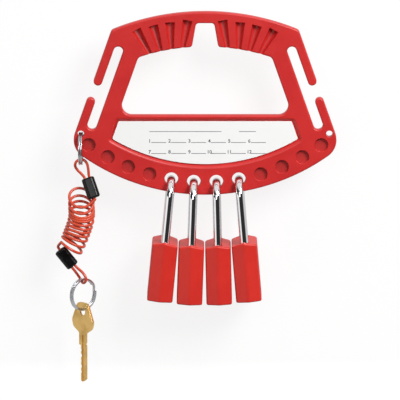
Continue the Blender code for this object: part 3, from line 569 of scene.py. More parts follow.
case_zinc = grained(
    "case_zinc", (0.42, 0.42, 0.43), (0.56, 0.56, 0.57), (60.0, 3.0), (1900.0, 3.0), 0.45, 0.15, 0.04 * MM,
    Metallic=0.9,
)
label_card = grained(
    "label_card", (0.91, 0.91, 0.90), (0.88, 0.88, 0.87), (70.0,), (1300.0, 4.0, 0.7), 0.42, 0.12, 0.012 * MM,
    Coat_Weight=0.15,
)
cord_plastic = grained(
    "cord_plastic", (0.66, 0.07, 0.021), (0.56, 0.048, 0.016), (150.0,), (420.0,), 0.3, 0.12, 0.05 * MM,
    Coat_Weight=0.1,
)

ink = Finish("label_ink")
label_ink = ink.set(
    Base_Color=ink.mix(ink.noise(2500.0), (0.02, 0.02, 0.02), (0.06, 0.06, 0.06)), Roughness=0.6
)

sleeve = Finish("ferrule_plastic")
sleeve_rubs = sleeve.mask(sleeve.noise(500.0, 4.0, 0.6), 0.5, 0.75)
ferrule_plastic = sleeve.set(
    Base_Color=sleeve.mix(sleeve_rubs, (0.006, 0.006, 0.006), (0.014, 0.014, 0.014)),
    Roughness=0.22 + sleeve_rubs * 0.16, Specular_IOR_Level=0.22,
    Normal=sleeve.bump(sleeve.noise(260.0, 1.0), 0.08 * MM),
)

# %% [markdown]
# ## Finishing the cord
#
# The cord stands for the three plain solids that hold its room in the construction model.

# %% The cord's finish
curly_cord.data.materials.append(cord_plastic)
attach(curly_cord, "lanyard")
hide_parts("upper_cord_loop", "cord_coil", "lower_cord_loop")

# %% [markdown]
# ## Outlines with round corners
#
# The plate's outline is two large arcs joined by slanted sides, and every corner is rounded. Each edge is
# known, and so is each corner's radius. The centre of a corner's arc lies one radius inside both edges,
# and a few steps of Newton's method find it, whether the edges are straight or round. One half is drawn
# and mirrored.

# %% Edges, corners and a whole outline
CHORD = 1.2 * MM  # length of the straight pieces that stand for a round edge
FEWEST_PIECES, NEWTON_STEPS = 6, 20


def unit(angle):
    return Vector((math.cos(angle), math.sin(angle)))


class Straight:
    """A straight edge through a point. Its angle is the way out of the outline."""

    def __init__(self, point, angle):
        self.point, self.out, self.radius = Vector(point), unit(angle), None

    def way_out(self, place):
        return self.out

    def beyond(self, place):
        return (place - self.point).dot(self.out)

    def inside(self, distance):
        return Straight(self.point - distance * self.out, math.atan2(self.out.y, self.out.x))


class Bulge:
    """A large round edge."""

    def __init__(self, centre, radius):
        self.centre, self.radius = Vector(centre), radius

    def way_out(self, place):
        return (place - self.centre).normalized()

    def beyond(self, place):
        return (place - self.centre).length - self.radius


def arc(centre, radius, first, last):
    """Points of an arc from one angle to another by the shorter way."""
    turn = (last - first + math.pi) % math.tau - math.pi
    pieces = max(FEWEST_PIECES, math.ceil(abs(turn * radius) / CHORD))
    return [centre + radius * unit(first + turn * k / pieces) for k in range(pieces + 1)]


def corner(first, second, radius):
    """Centre of the arc in a corner. A negative radius rounds a corner that points inwards."""
    place = Vector((plate_high.x, (plate_low.z + plate_high.z) / 2))
    for _ in range(NEWTON_STEPS):
        miss = Vector((first.beyond(place) + radius, second.beyond(place) + radius))
        place = place - Matrix((first.way_out(place), second.way_out(place))).inverted() @ miss
    return place


def outline(edges, radii):
    """The closed outline whose right half has these edges, from the bottom up."""
    angle, right = -math.pi / 2, []
    for first, second, radius in zip(edges, edges[1:], radii):
        centre = corner(first, second, radius)
        ways = first.way_out(centre), second.way_out(centre)
        start, end = (math.atan2(way.y, way.x) for way in ways)
        if first.radius:
            right += arc(first.centre, first.radius, angle, start)[:-1]
        right += arc(centre, radius, start, end)
        angle = end
    if edges[-1].radius:
        right += arc(edges[-1].centre, edges[-1].radius, angle, math.pi / 2)[1:]
    left = [Vector((-point.x, point.y)) for point in reversed(right) if point.x > TINY]
    return right + left


# %% [markdown]
# ## The carrier plate
#
# The plate is a flat moulding, 7 mm thick. Its sides carry slots that open outwards between two fingers,
# and its grip has a notch for the hook and fans of grooves for the fingers. The outlines are drawn on the
# front face and pulled back through the thickness. The rims are rounded before anything is cut in the
# face, because a bevel runs cleanly only along whole edges.

# %% Sizes of the plate
FRONT, BACK = plate_low.y, plate_high.y
PLATE_WIDTH = plate_high.x - plate_low.x
PLATE_EDGE = 1.2 * MM
LOWER_RADIUS, UPPER_RADIUS = mm(160.0, 184.0)
LOWER_CENTRE = Vector((0, plate_low.z + LOWER_RADIUS))
UPPER_CENTRE = Vector((0, plate_high.z - UPPER_RADIUS))
SIDE_SLANT = math.radians(19.3)
LOWER_CORNER, UPPER_CORNER = mm(15.0, 4.0)
FINGER, SLOT, MEMBER = mm(6.6, 7.1, 12.3)
SLOT_LENGTH, SLOT_MIDDLE = mm(67.0, -49.8)
MOUTH, MOUTH_MIDDLE = mm(10.3, -52.5)
TIP_FLAT = 0.1 * MM  # half of what stays straight at a finger's tip and at a slot's end
GRIP_DEPTH, OPENING_BOTTOM = mm(26.6, -70.5)
NOTCH_WIDTH, NOTCH_SLANT = 13.5 * MM, math.radians(9.8)
OPENING_RADII = mm(7.5, 4.5, -2.5, 2.5)
PAST = 2 * MM  # how far a tool runs past the face that it enters by

corner_x = PLATE_WIDTH / 2 - LOWER_CORNER
corner_reach = LOWER_RADIUS - LOWER_CORNER
LOWER_CORNER_CENTRE = Vector((corner_x, LOWER_CENTRE.y - math.sqrt(corner_reach**2 - corner_x**2)))
SIDE = Straight(LOWER_CORNER_CENTRE + LOWER_CORNER * unit(SIDE_SLANT), SIDE_SLANT)
ALONG_SIDE = Vector((-math.sin(SIDE_SLANT), math.cos(SIDE_SLANT)))


def across_side(height, depth, offset, angle):
    """A line square to the plate's side, placed along it from the point at this height and depth."""
    inner = SIDE.inside(depth)
    return Straight(inner.point + ((height - inner.point.y) / ALONG_SIDE.y + offset) * ALONG_SIDE, angle)


def slab(name, line, start, end):
    """A slab between two depths, with this outline as seen from the front."""
    return drawn(name, [(x, start, z) for x, z in line], (0, end - start, 0))


# %% The plate and its hand opening
up, down = SIDE_SLANT + math.pi / 2, SIDE_SLANT - math.pi / 2
finger_inside = Straight(SIDE.inside(FINGER).point, SIDE_SLANT + math.pi)
slot_depth = FINGER + SLOT / 2
finger_tip, slot_end = FINGER / 2 - TIP_FLAT, TIP_FLAT - SLOT / 2
plate_edges = [
    Bulge(LOWER_CENTRE, LOWER_RADIUS), SIDE,
    across_side(MOUTH_MIDDLE, FINGER / 2, -MOUTH / 2, up), finger_inside,
    across_side(SLOT_MIDDLE, slot_depth, -SLOT_LENGTH / 2, up), SIDE.inside(FINGER + SLOT),
    across_side(SLOT_MIDDLE, slot_depth, SLOT_LENGTH / 2, down), finger_inside,
    across_side(MOUTH_MIDDLE, FINGER / 2, MOUTH / 2, down), SIDE, Bulge(UPPER_CENTRE, UPPER_RADIUS),
]
plate_radii = [LOWER_CORNER] + [finger_tip] * 2 + [slot_end] * 4 + [finger_tip] * 2 + [UPPER_CORNER]
opening_edges = [
    Straight((0, OPENING_BOTTOM), -math.pi / 2), SIDE.inside(FINGER + SLOT + MEMBER),
    Bulge(UPPER_CENTRE, UPPER_RADIUS - GRIP_DEPTH), Straight((NOTCH_WIDTH / 2, 0), NOTCH_SLANT),
    Straight((0, 0), math.pi / 2),
]

plate = slab("moulded_plate", outline(plate_edges, plate_radii), FRONT, BACK)
cut(plate, slab("opening", outline(opening_edges, OPENING_RADII), FRONT - PAST, BACK + PAST))


def is_rim(edge):
    """An edge between the front or back face and an upright wall."""
    flat = [abs(face.normal.y) > 0.9 for face in edge.link_faces]
    return len(flat) == 2 and flat[0] != flat[1]


rims = round_edges(plate, is_rim, PLATE_EDGE, 6)
print("plate:", rims, "rim edges rounded")

# %% [markdown]
# ### What is cut into the front
#
# The label lies in a recess with sloping walls. Twelve lock points follow the lower edge: the four in the
# middle are open, and the others are closed by a thin web, which is punched out when it is needed. A
# small hole for a lanyard goes through each lower corner, and each half of the grip has four tapered
# grooves. Each of these is a tool with its own simple shape, which is taken out of the plate.

# %% The recess for the label
RECESS_TOP, RECESS_SIDE, RECESS_LOWER, RECESS_CORNER = mm(2.5, 25.3, 20.9, 3.0)
RECESS_DEPTH, RECESS_WALL = mm(2.0, 2.0)
WALL_SLOPE = RECESS_WALL / RECESS_DEPTH


def recess_line(inset, top_inset, corner_radius):
    """The recess's outline at the front face, drawn in by an inset."""
    edges = [
        Bulge(LOWER_CENTRE, LOWER_RADIUS - RECESS_LOWER - inset), SIDE.inside(RECESS_SIDE + inset),
        Straight((0, OPENING_BOTTOM - RECESS_TOP - top_inset), math.pi / 2),
    ]
    return outline(edges, [corner_radius] * 2)


wall_run = WALL_SLOPE * PAST  # how much wider the tool is where it starts
recess_start = recess_line(-wall_run, -wall_run, RECESS_CORNER + wall_run)
recess = slab("recess", recess_start, FRONT - 2 * PAST, FRONT - PAST)
tool_depth = PAST + RECESS_DEPTH
pick(recess, faces=lambda face: face.normal.y > 0.9)
bpy.ops.mesh.inset(thickness=WALL_SLOPE * tool_depth, depth=tool_depth, use_even_offset=True)
leave()
cut(plate, recess)

# %% Lock points and lanyard holes
LOCK_POINTS, OPEN_POINTS = 12, 4
LOCK_HOLE, LOCK_HOLE_RIM, ROW_END_INSET = mm(5.15, 10.0, 11.4)
WEB = 1.0 * MM
THROUGH, TO_WEB, FROM_WEB = (FRONT - PAST, BACK + PAST), (FRONT - PAST, -WEB / 2), (WEB / 2, BACK + PAST)
LANYARD_HOLE, LANYARD_HOLE_RIM, LANYARD_HOLE_ANGLE = 2.5 * MM, 4.2 * MM, math.radians(27.5)


def lock_point(index):
    """Centre of a lock point, numbered from the left along a row of even steps."""
    reach = LOWER_RADIUS - LOCK_HOLE_RIM
    row_end = math.asin((PLATE_WIDTH / 2 - ROW_END_INSET) / reach)
    return LOWER_CENTRE + reach * unit(-math.pi / 2 + row_end * (2 * index / (LOCK_POINTS - 1) - 1))


def drill(place, radius, start, end):
    """A round tool along Y."""
    deselect()
    bpy.ops.mesh.primitive_cylinder_add(
        vertices=64, radius=radius, depth=end - start, location=(place.x, (start + end) / 2, place.y),
        rotation=(math.pi / 2, 0, 0),
    )
    return new_piece("drill")


first_open = (LOCK_POINTS - OPEN_POINTS) // 2
drills = []
for index in range(LOCK_POINTS):
    goes_through = first_open <= index < first_open + OPEN_POINTS
    for start, end in [THROUGH] if goes_through else [TO_WEB, FROM_WEB]:
        drills.append(drill(lock_point(index), LOCK_HOLE, start, end))

lanyard_right = LOWER_CORNER_CENTRE + (LOWER_CORNER - LANYARD_HOLE_RIM) * unit(LANYARD_HOLE_ANGLE)
for side in (-1, 1):
    drills.append(drill(Vector((side * lanyard_right.x, lanyard_right.y)), LANYARD_HOLE, *THROUGH))
cut(plate, *drills)
print("plate:", LOCK_POINTS, "lock points, of which", OPEN_POINTS, "are open")

# %% Grooves for the fingers
FLUTES, FLUTE_FIRST, FLUTE_STEP = 4, math.radians(-10.3), math.radians(13.2)
FLUTE_FOCUS = Vector((23.6 * MM, -55.5 * MM))  # where the middle lines of the right fan meet
FLUTE_TOP_RIM, FLUTE_TOP, FLUTE_LOW = mm(6.0, 7.2, 3.6)
FLUTE_DEEPER = 1.4  # a groove is deeper than half its width
CONE_SIDES = 64
HALF_FACET = Quaternion((0, 0, 1), math.pi / CONE_SIDES)  # so that no edge of the cone lies in the front face


def flute_end(way, side, radius):
    """Where a groove's middle line crosses a circle about the centre of the plate's upper arc."""
    start = Vector((side * FLUTE_FOCUS.x, FLUTE_FOCUS.y)) - UPPER_CENTRE
    along = start.dot(way)
    place = UPPER_CENTRE + start + way * (math.sqrt(along**2 - start.length_squared + radius**2) - along)
    return Vector((place.x, FRONT, place.y))


def flute_tool(angle, side):
    """A cone that lies with its axis in the front face, wide end up."""
    way = Vector((side * math.sin(angle), math.cos(angle)))
    top = flute_end(way, side, UPPER_RADIUS - FLUTE_TOP_RIM)
    low = flute_end(way, side, UPPER_RADIUS - GRIP_DEPTH)
    past = PAST / (top - low).length
    low_end = low + past * (low - top)
    deselect()
    bpy.ops.mesh.primitive_cone_add(
        vertices=CONE_SIDES, radius1=(FLUTE_LOW - past * (FLUTE_TOP - FLUTE_LOW)) / 2, radius2=FLUTE_TOP / 2,
        depth=(top - low_end).length, location=(top + low_end) / 2,
        rotation=((top - low_end).to_track_quat("Z", "Y") @ HALF_FACET).to_euler(),
    )
    tool = new_piece("flute")
    pick(tool)
    bpy.ops.transform.resize(value=(1, FLUTE_DEEPER, 1), center_override=(0, FRONT, 0))
    leave()
    return tool


flute_angles = [FLUTE_FIRST + step * FLUTE_STEP for step in range(FLUTES)]
cut(plate, *[flute_tool(angle, side) for angle in flute_angles for side in (-1, 1)])

# %% Rounding the rims of the cuts
CUT_EDGE, RECESS_EDGE = mm(0.3, 0.9)
WALL_TURN, TURN_MISS = math.degrees(math.atan(WALL_SLOPE)), 7


def turn_of(edge):
    """The angle between an edge's two faces, in degrees."""
    return math.degrees(edge.calc_face_angle(0))


def at_face(edge, level):
    return all(abs(vertex.co.y - level) < TINY for vertex in edge.verts)


def is_cut_rim(edge):
    """An edge where a cut meets the front or the back face."""
    return turn_of(edge) > 30 and (at_face(edge, FRONT) or at_face(edge, BACK))


def is_recess_rim(edge):
    """An edge where the recess's sloping wall meets the front face."""
    return at_face(edge, FRONT) and abs(turn_of(edge) - WALL_TURN) < TURN_MISS


rims = round_edges(plate, is_recess_rim, RECESS_EDGE, 5)
rims += round_edges(plate, is_cut_rim, CUT_EDGE, 3)
dress(plate, carrier_red, web_painted_shade_red)
# The faces of the thin webs take the second finish, the darker red that paints shade into those pockets.
for face in plate.data.polygons:
    face.material_index = int(abs(face.center.y) < WEB and abs(face.normal.y) > 0.9)
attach(plate, "carrier")
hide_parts("carrier_plate")
print("plate:", rims, "rim edges of cuts rounded,", len(plate.data.polygons), "faces")

# %% [markdown]
# ## The card to write on
#
# A white card lies in the recess, with a little room at its edges. It is ruled with numbered lines, so
# that people can write down who has put on which lock. The numbers are text objects, turned into meshes
# and laid on the card as a film of ink that is too thin to feel.

# %% The card
CARD, CARD_EDGE = mm(0.7, 0.1)
CARD_ROOM, CARD_TOP_ROOM, CARD_CORNER = mm(0.7, 0.15, 1.2)
card_front = FRONT + RECESS_DEPTH - GAP - CARD
card_line = recess_line(RECESS_WALL + CARD_ROOM, RECESS_WALL + CARD_TOP_ROOM, CARD_CORNER)
write_on_card = slab("write_on_card", card_line, card_front, card_front + CARD)
round_edges(write_on_card, is_rim, CARD_EDGE, 2)
dress(write_on_card, label_card)
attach(write_on_card, "carrier")
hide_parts("write_on_label")

# %% Numbers and ruled lines
INK = 0.02 * MM
NUMBER_SIZE, NUMBER_BOLD = mm(3.7, 0.065)
COLUMNS, ROWS = 6, 2
FIRST_NUMBER = Vector((-41.9 * MM, -90.4 * MM))
NUMBER_STEP = Vector((15.05 * MM, -8.4 * MM))
RULE_HIGH, RULE_START, RULE_DROP, RULE_LONG = mm(0.4, 1.3, 1.1, 11.2)
HEAD_HEIGHT, HEAD_RULES = -83.1 * MM, [(-42.0 * MM, 12.4 * MM), (25.6 * MM, 38.4 * MM)]


def box(name, low, high):
    """A box between two corners."""
    low, high = Vector(low), Vector(high)
    deselect()
    bpy.ops.mesh.primitive_cube_add(size=1, location=(low + high) / 2, scale=high - low)
    return settled(name)


def rule(left, right, height):
    """A ruled line: a flat bar of ink."""
    return box(
        "rule", (left, card_front - INK, height - RULE_HIGH / 2), (right, card_front, height + RULE_HIGH / 2)
    )


def digits(text, x, z):
    """A number that stands at this place."""
    deselect()
    bpy.ops.object.text_add(location=(x, card_front - INK / 2, z), rotation=(math.pi / 2, 0, 0))
    letters = bpy.context.object.data
    letters.body, letters.size, letters.extrude, letters.offset = text, NUMBER_SIZE, INK / 2, NUMBER_BOLD
    letters.align_x = letters.align_y = "CENTER"
    bpy.ops.object.convert(target="MESH")
    return settled("number")


print_pieces = [rule(left, right, HEAD_HEIGHT) for left, right in HEAD_RULES]
for row in range(ROWS):
    for column in range(COLUMNS):
        x = FIRST_NUMBER.x + column * NUMBER_STEP.x
        z = FIRST_NUMBER.y + row * NUMBER_STEP.y
        print_pieces.append(digits(str(row * COLUMNS + column + 1), x, z))
        print_pieces.append(rule(x + RULE_START, x + RULE_START + RULE_LONG, z - RULE_DROP))
card_print = join("card_print", print_pieces)
merge(card_print)
card_print.data.materials.clear()
card_print.data.materials.append(label_ink)
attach(card_print, "carrier")
print("card:", len(print_pieces), "printed marks")

# %% [markdown]
# ## The padlocks
#
# The four padlocks are the same, so one is modelled upright at the origin and copied to each joint. The
# origin of a padlock is the centre of its shackle's bend, where it swings. X runs across the row, and Z
# up along the legs. The body is narrow and deep: its thin side, which faces the reader, comes to a low
# ridge, and the top falls away to both sides like a roof.

# %% Sizes of a padlock, and where each one hangs
LOCK_WIDTH, LOCK_DEPTH, LOCK_HEIGHT = mm(19.4, 38.0, 45.9)
LEG_LENGTH = 33.2 * MM
LOCK_TOP = -LEG_LENGTH
LOCK_BOTTOM = LOCK_TOP - LOCK_HEIGHT
RIDGE_HEIGHT, RIDGE_WIDTH = mm(3.0, 1.6)
SIDE_ROUND, LOCK_EDGE = mm(2.0, 1.2)
TOP_SLOPE = math.radians(13.0)
WIRE, CROWN = mm(3.175, 12.5)
TOE_END, HEEL_END = LOCK_TOP - 15.0 * MM, LOCK_TOP - 33.0 * MM
BORE = WIRE + GAP
SPRING_SEAT = HEEL_END - 8.5 * MM


def padlock_place(number):
    """The matrix that takes the upright padlock to its joint."""
    swing, drop = joint(f"padlock_{number}_swing"), joint(f"padlock_{number}_open")
    across, rise = Vector(swing["axis"]).normalized(), -Vector(drop["axis"]).normalized()
    turn = Matrix((across, rise.cross(across), rise)).transposed().to_4x4()
    return Matrix.Translation(swing["pos_m"]) @ turn


def bar(radius, low, high, y=0.0):
    """A round bar along Z."""
    deselect()
    bpy.ops.mesh.primitive_cylinder_add(
        vertices=64, radius=radius, depth=high - low, location=(0, y, (low + high) / 2)
    )
    return settled("bar")


def at_height(edge, height):
    return all(abs(vertex.co.z - height) < TINY for vertex in edge.verts)


def runs_up(edge, x, y):
    """Whether an edge is upright, at this distance from the middle on either side, front or back."""
    low, high = (vertex.co for vertex in edge.verts)
    upright = abs((high - low).normalized().z) > 0.99
    return upright and abs(abs(low.x) - x) < TINY and abs(abs(low.y) - y) < TINY


# %% The outside of a padlock's body
ridge_turn = math.atan2(RIDGE_HEIGHT, (LOCK_WIDTH - RIDGE_WIDTH) / 2)
ridge_blunt = RIDGE_WIDTH / 2 * math.tan(ridge_turn)  # what the rounding takes off the sharp ridge
ridge_point, side_point = LOCK_DEPTH / 2 + ridge_blunt, LOCK_DEPTH / 2 - RIDGE_HEIGHT
half_plan = [(LOCK_WIDTH / 2, -side_point), (LOCK_WIDTH / 2, side_point), (0, ridge_point)]
plan = half_plan + [(-x, -y) for x, y in half_plan]
side_width = SIDE_ROUND * math.tan((math.pi / 2 - ridge_turn) / 2)
ridge_width = ridge_blunt * math.sin(ridge_turn) / (1 - math.cos(ridge_turn))


def is_cap_rim(edge):
    """An edge between a side and the top or the underside."""
    return len([face for face in edge.link_faces if abs(face.normal.z) > 0.9]) == 1


body = drawn("lock_body", [(x, y, LOCK_BOTTOM) for x, y in plan], (0, 0, LOCK_HEIGHT + PAST))
round_edges(body, lambda edge: runs_up(edge, LOCK_WIDTH / 2, side_point), side_width, 6)
round_edges(body, lambda edge: runs_up(edge, 0, ridge_point), ridge_width, 6)
for side in (-1, 1):
    pick(body)
    bpy.ops.mesh.bisect(
        plane_co=(0, 0, LOCK_TOP), plane_no=(side * math.sin(TOP_SLOPE), 0, math.cos(TOP_SLOPE)),
        clear_outer=True, use_fill=True,
    )
    leave()
rims = round_edges(body, is_cap_rim, LOCK_EDGE, 6)
print("lock body:", rims, "rim edges rounded")

# %% [markdown]
# ### The inside of the body
#
# The body is a shell that is open below. The lock case fills it, a cover closes it, and two holes through
# its top let the legs in. The tools for these run a little past the surface, so that no thin skin is
# left.

# %% Opening the body
SHELL_WALL, SHELL_TOP, CAVITY_ROUND, CASE_DEPTH = mm(1.6, 2.2, 0.8, 25.0)
CAVITY_TOP = LOCK_TOP - LOCK_WIDTH / 2 * math.tan(TOP_SLOPE) - SHELL_TOP
BORE_EDGE = 0.3 * MM


def cavity(name, low, high, inset):
    """A block of the cavity's shape, with its upright edges rounded."""
    half_wide, half_deep = LOCK_WIDTH / 2 - SHELL_WALL - inset, CASE_DEPTH / 2 - inset
    piece = box(name, (-half_wide, -half_deep, low), (half_wide, half_deep, high))
    round_edges(piece, lambda edge: runs_up(edge, half_wide, half_deep), CAVITY_ROUND - inset, 4)
    return piece


cut(body, cavity("cavity", LOCK_BOTTOM - PAST, CAVITY_TOP, 0))
toe_bore = bar(BORE, TOE_END - GAP, LOCK_TOP + PAST, -CROWN)
heel_bore = bar(BORE, SPRING_SEAT, LOCK_TOP + PAST, CROWN)
cut(body, toe_bore, heel_bore)


def is_sharp(edge):
    return turn_of(edge) > 60


def is_bore_rim(edge):
    """The round rim of a leg's hole, on the sloping top."""
    off = [abs(math.hypot(vertex.co.x, abs(vertex.co.y) - CROWN) - BORE) for vertex in edge.verts]
    return max(off) < TINY and edge.verts[0].co.z > CAVITY_TOP + 1 * MM and turn_of(edge) > 30


rims = round_edges(body, is_bore_rim, BORE_EDGE, 3)
rims += round_edges(body, lambda edge: at_height(edge, LOCK_BOTTOM) and is_sharp(edge), BORE_EDGE, 2)
dress(body, lock_red)
print("lock body:", rims, "edges of holes rounded,", len(body.data.polygons), "faces")

# %% [markdown]
# ### Cover and plug
#
# From below one sees the base cover, and in its middle the brass nose of the plug with the slot for the
# key. The plug is one turned piece: a thick barrel with a thinner nose, made by drawing in its lower end
# and pulling it out.

# %% The base cover and the plug
COVER_BOTTOM, COVER_TOP = LOCK_BOTTOM + 0.5 * MM, LOCK_BOTTOM + 3.0 * MM
PLUG_BOTTOM, PLUG_TOP = COVER_TOP + GAP, LOCK_TOP - 11.7 * MM
PLUG, PLUG_NOSE, PLUG_EDGE = mm(6.2, 5.2, 0.25)
KEYWAY_WIDE, KEYWAY_HIGH, KEYWAY_DEEP = mm(2.6, 7.0, 28.0)
KEYWAY_EDGE = 0.12 * MM

cover = cavity("base_cover", COVER_BOTTOM, COVER_TOP, GAP)
cut(cover, bar(PLUG_NOSE + GAP, COVER_BOTTOM - PAST, COVER_TOP + PAST))
round_edges(cover, lambda edge: at_height(edge, COVER_BOTTOM) and is_sharp(edge), PLUG_EDGE, 3)
dress(cover, lock_red)

plug = bar(PLUG, PLUG_BOTTOM, PLUG_TOP)
pick(plug, faces=lambda face: face.normal.z < -0.9)
bpy.ops.mesh.inset(thickness=PLUG - PLUG_NOSE)
pull(0, 0, COVER_BOTTOM - PLUG_BOTTOM)
leave()
keyway = box(
    "keyway", (-KEYWAY_WIDE / 2, -KEYWAY_HIGH / 2, COVER_BOTTOM - PAST),
    (KEYWAY_WIDE / 2, KEYWAY_HIGH / 2, COVER_BOTTOM + KEYWAY_DEEP),
)
cut(plug, keyway)


def is_nose_rim(edge, of_keyway):
    """An edge at the nose's end, on the keyway or round the outside."""
    half_wide, half_high = KEYWAY_WIDE / 2 + TINY, KEYWAY_HIGH / 2 + TINY
    inside = [abs(end.co.x) < half_wide and abs(end.co.y) < half_high for end in edge.verts]
    return at_height(edge, COVER_BOTTOM) and inside == [of_keyway, of_keyway]


round_edges(plug, lambda edge: is_nose_rim(edge, False), PLUG_EDGE, 2)
round_edges(plug, lambda edge: is_nose_rim(edge, True), KEYWAY_EDGE, 2)
dress(plug, plug_brass)
print("plug:", len(plug.data.polygons), "faces")

# %% [markdown]
# ### Shackle
#
# The shackle is one bent rod. It starts as a circle at the toe's end, which is pulled up, spun through
# half a turn and pulled down again, as a wire bender would. Each leg has a notch that a steel ball locks
# into. The body slides down before the balls have left, so the notch is a ball's shape drawn out along a
# slope. The heel has a flat as well, which keeps it from leaving the body.

# %% The bent rod
ROD_SIDES, BEND_STEPS = 64, 48
LEG_CHAMFER = 0.8 * MM


def is_open(edge):
    """An edge at an end of the rod, before a face closes it."""
    return len(edge.link_faces) == 1


deselect()
bpy.ops.mesh.primitive_circle_add(
    vertices=ROD_SIDES, radius=WIRE, location=(0, -CROWN, TOE_END), fill_type="NOTHING"
)
shackle = settled("shackle")
pick(shackle, edges=lambda edge: True)
bpy.ops.mesh.extrude_edges_move(TRANSFORM_OT_translate={"value": (0, 0, -TOE_END)})
bpy.ops.mesh.spin(steps=BEND_STEPS, angle=math.pi, center=(0, 0, 0), axis=(1, 0, 0))
bpy.ops.mesh.extrude_edges_move(TRANSFORM_OT_translate={"value": (0, 0, HEEL_END)})
leave()
for side in (-1, 1):
    pick(shackle, edges=lambda edge: is_open(edge) and side * edge.verts[0].co.y > 0)
    bpy.ops.mesh.edge_face_add()
    leave()
face_outward(shackle)
rims = round_edges(shackle, is_sharp, LEG_CHAMFER, 3)
print("shackle:", rims, "edges at its ends rounded")

# %% Notches for the balls, and the flat on the heel
BALL, BALL_BITE, BALL_RETREAT = 2.4 * MM, 1.4 * MM, 0.2
BALL_LEVEL = LOCK_TOP - 8.7 * MM
LEG_INSIDE = CROWN - WIRE
BALL_PLACE = LEG_INSIDE + BALL_BITE - BALL
RETAINER_LEVEL, RETAINER, RETAINER_BITE = LOCK_TOP - 14.7 * MM, 1.0 * MM, 1.1 * MM
OPEN_TRAVEL = joint("padlock_1_open")["range_m"][1]


def ball_tool(side):
    """A ball whose lower half is drawn out, down and inwards."""
    deselect()
    bpy.ops.mesh.primitive_uv_sphere_add(
        segments=48, ring_count=24, radius=BALL + GAP, location=(0, side * BALL_PLACE, BALL_LEVEL)
    )
    tool = settled("ball_tool")
    pick(tool, faces=lambda face: face.calc_center_median().z < BALL_LEVEL)
    drop = (BALL_BITE + GAP) / BALL_RETREAT
    pull(0, -side * BALL_RETREAT * drop, -drop)
    leave()
    return tool


cut(shackle, ball_tool(-1), ball_tool(1))
flat = box(
    "flat", (-2 * WIRE, LEG_INSIDE - PAST, RETAINER_LEVEL - OPEN_TRAVEL - RETAINER - GAP),
    (2 * WIRE, LEG_INSIDE + RETAINER_BITE + GAP, RETAINER_LEVEL + RETAINER + GAP),
)
cut(shackle, flat)
dress(shackle, chrome)

# %% Four padlocks from one
MODELS = [
    (shackle, "shackle", "shackle", "shackle_chrome"), (body, "lock_body", "body", "padlock_plastic"),
    (cover, "base_cover", "body", "padlock_plastic"), (plug, "key_plug", "plug", "plug_brass"),
]
INNER_FINISHES = {
    "lock_case": case_zinc, "cam": pin_steel, "front_ball": pin_steel, "rear_ball": pin_steel,
    "heel_retainer": pin_steel, "shackle_spring": pin_steel,
}


def copy_of(piece, name, matrix):
    """A copy with a mesh of its own, moved to a new place."""
    twin = piece.copy()
    twin.data = piece.data.copy()
    twin.name = twin.data.name = name
    bpy.context.scene.collection.objects.link(twin)
    place_mesh(twin, matrix)
    return twin


for number in range(1, OPEN_POINTS + 1):
    for model, name, carried_by, slot in MODELS:
        piece = copy_of(model, f"fine_{name}_{number}", padlock_place(number))
        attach(piece, f"padlock_{number}_{carried_by}")
        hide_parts(f"padlock_{number}_{name}")
    for name, finish in INNER_FINISHES.items():
        frame["nodes"][f"padlock_{number}_{name}"].material_slots[0].material = finish
for model, *_ in MODELS:
    bpy.data.objects.remove(model)
print("padlocks:", OPEN_POINTS)

# %% [markdown]
# ## Rings, sleeves and key
#
# A split ring is two turns of flat wire that lie side by side. The wire crosses from one turn to the
# other over a short stretch, where its two ends meet. A small rounded profile is drawn along that path as
# a curve, and the curve is made a mesh.

# %% Split rings
RING_RADIUS, RING_HIGH, RING_WIDE, RING_GAP = mm(12.5, 1.8, 1.35, 0.2)
RING_JOG, RING_STEPS = math.radians(14.0), 260
RING_ROUND, RING_CORNER_PIECES, RING_END_EDGE = 0.38 * MM, 4, 0.15 * MM
RING_MIDDLE, RING_INSIDE = RING_RADIUS - RING_HIGH / 2, RING_RADIUS - RING_HIGH
HALF_STACK = RING_WIDE + RING_GAP / 2


def rounded_corners(half_wide, half_high, radius):
    """Points round a rectangle with round corners, about the origin."""
    points = []
    for quarter, (x, y) in enumerate(((1, 1), (-1, 1), (-1, -1), (1, -1))):
        centre = Vector((x * (half_wide - radius), y * (half_high - radius)))
        for piece in range(RING_CORNER_PIECES + 1):
            angle = (quarter + piece / RING_CORNER_PIECES) * math.pi / 2
            points.append((*(centre + radius * unit(angle)), 0))
    return points


ring_path = []
for step in range(RING_STEPS + 1):
    angle = RING_JOG + 2 * (math.tau - RING_JOG) * step / RING_STEPS
    across = blend([-1, 1], (angle - math.tau + RING_JOG) / (2 * RING_JOG))
    ring_path.append((*(RING_MIDDLE * unit(angle)), (RING_WIDE + RING_GAP) / 2 * across))
wire_profile = poly_curve("wire_profile", rounded_corners(RING_HIGH / 2, RING_WIDE / 2, RING_ROUND))
wire_profile.data.splines[0].use_cyclic_u = True
ring = poly_curve("split_ring", ring_path)
ring.data.twist_mode = "Z_UP"
ring.data.bevel_mode, ring.data.bevel_object = "OBJECT", wire_profile
ring.data.use_fill_caps = True
only(ring)
bpy.ops.object.convert(target="MESH")
bpy.data.objects.remove(wire_profile)
merge(ring)
face_outward(ring)
rims = round_edges(ring, is_sharp, RING_END_EDGE, 2)
dress(ring, ring_steel)
print("split ring:", rims, "edges at its ends rounded,", len(ring.data.polygons), "faces")

# %% Hanging the rings
AXIS_TO_X = Matrix(((0, 0, 1, 0), (1, 0, 0, 0), (0, 1, 0, 0), (0, 0, 0, 1)))  # the ring's axis from Z to X


def hang_ring(name, centre, turn, roll, replaced):
    """A copy of the ring for a node and its body, rolled about its axis and turned about the vertical."""
    place = Matrix.Translation(centre) @ Matrix.Rotation(turn, 4, "Z") @ Matrix.Rotation(roll, 4, "X")
    piece = copy_of(ring, name, place @ AXIS_TO_X)
    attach(piece, replaced)
    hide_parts(replaced)
    return piece


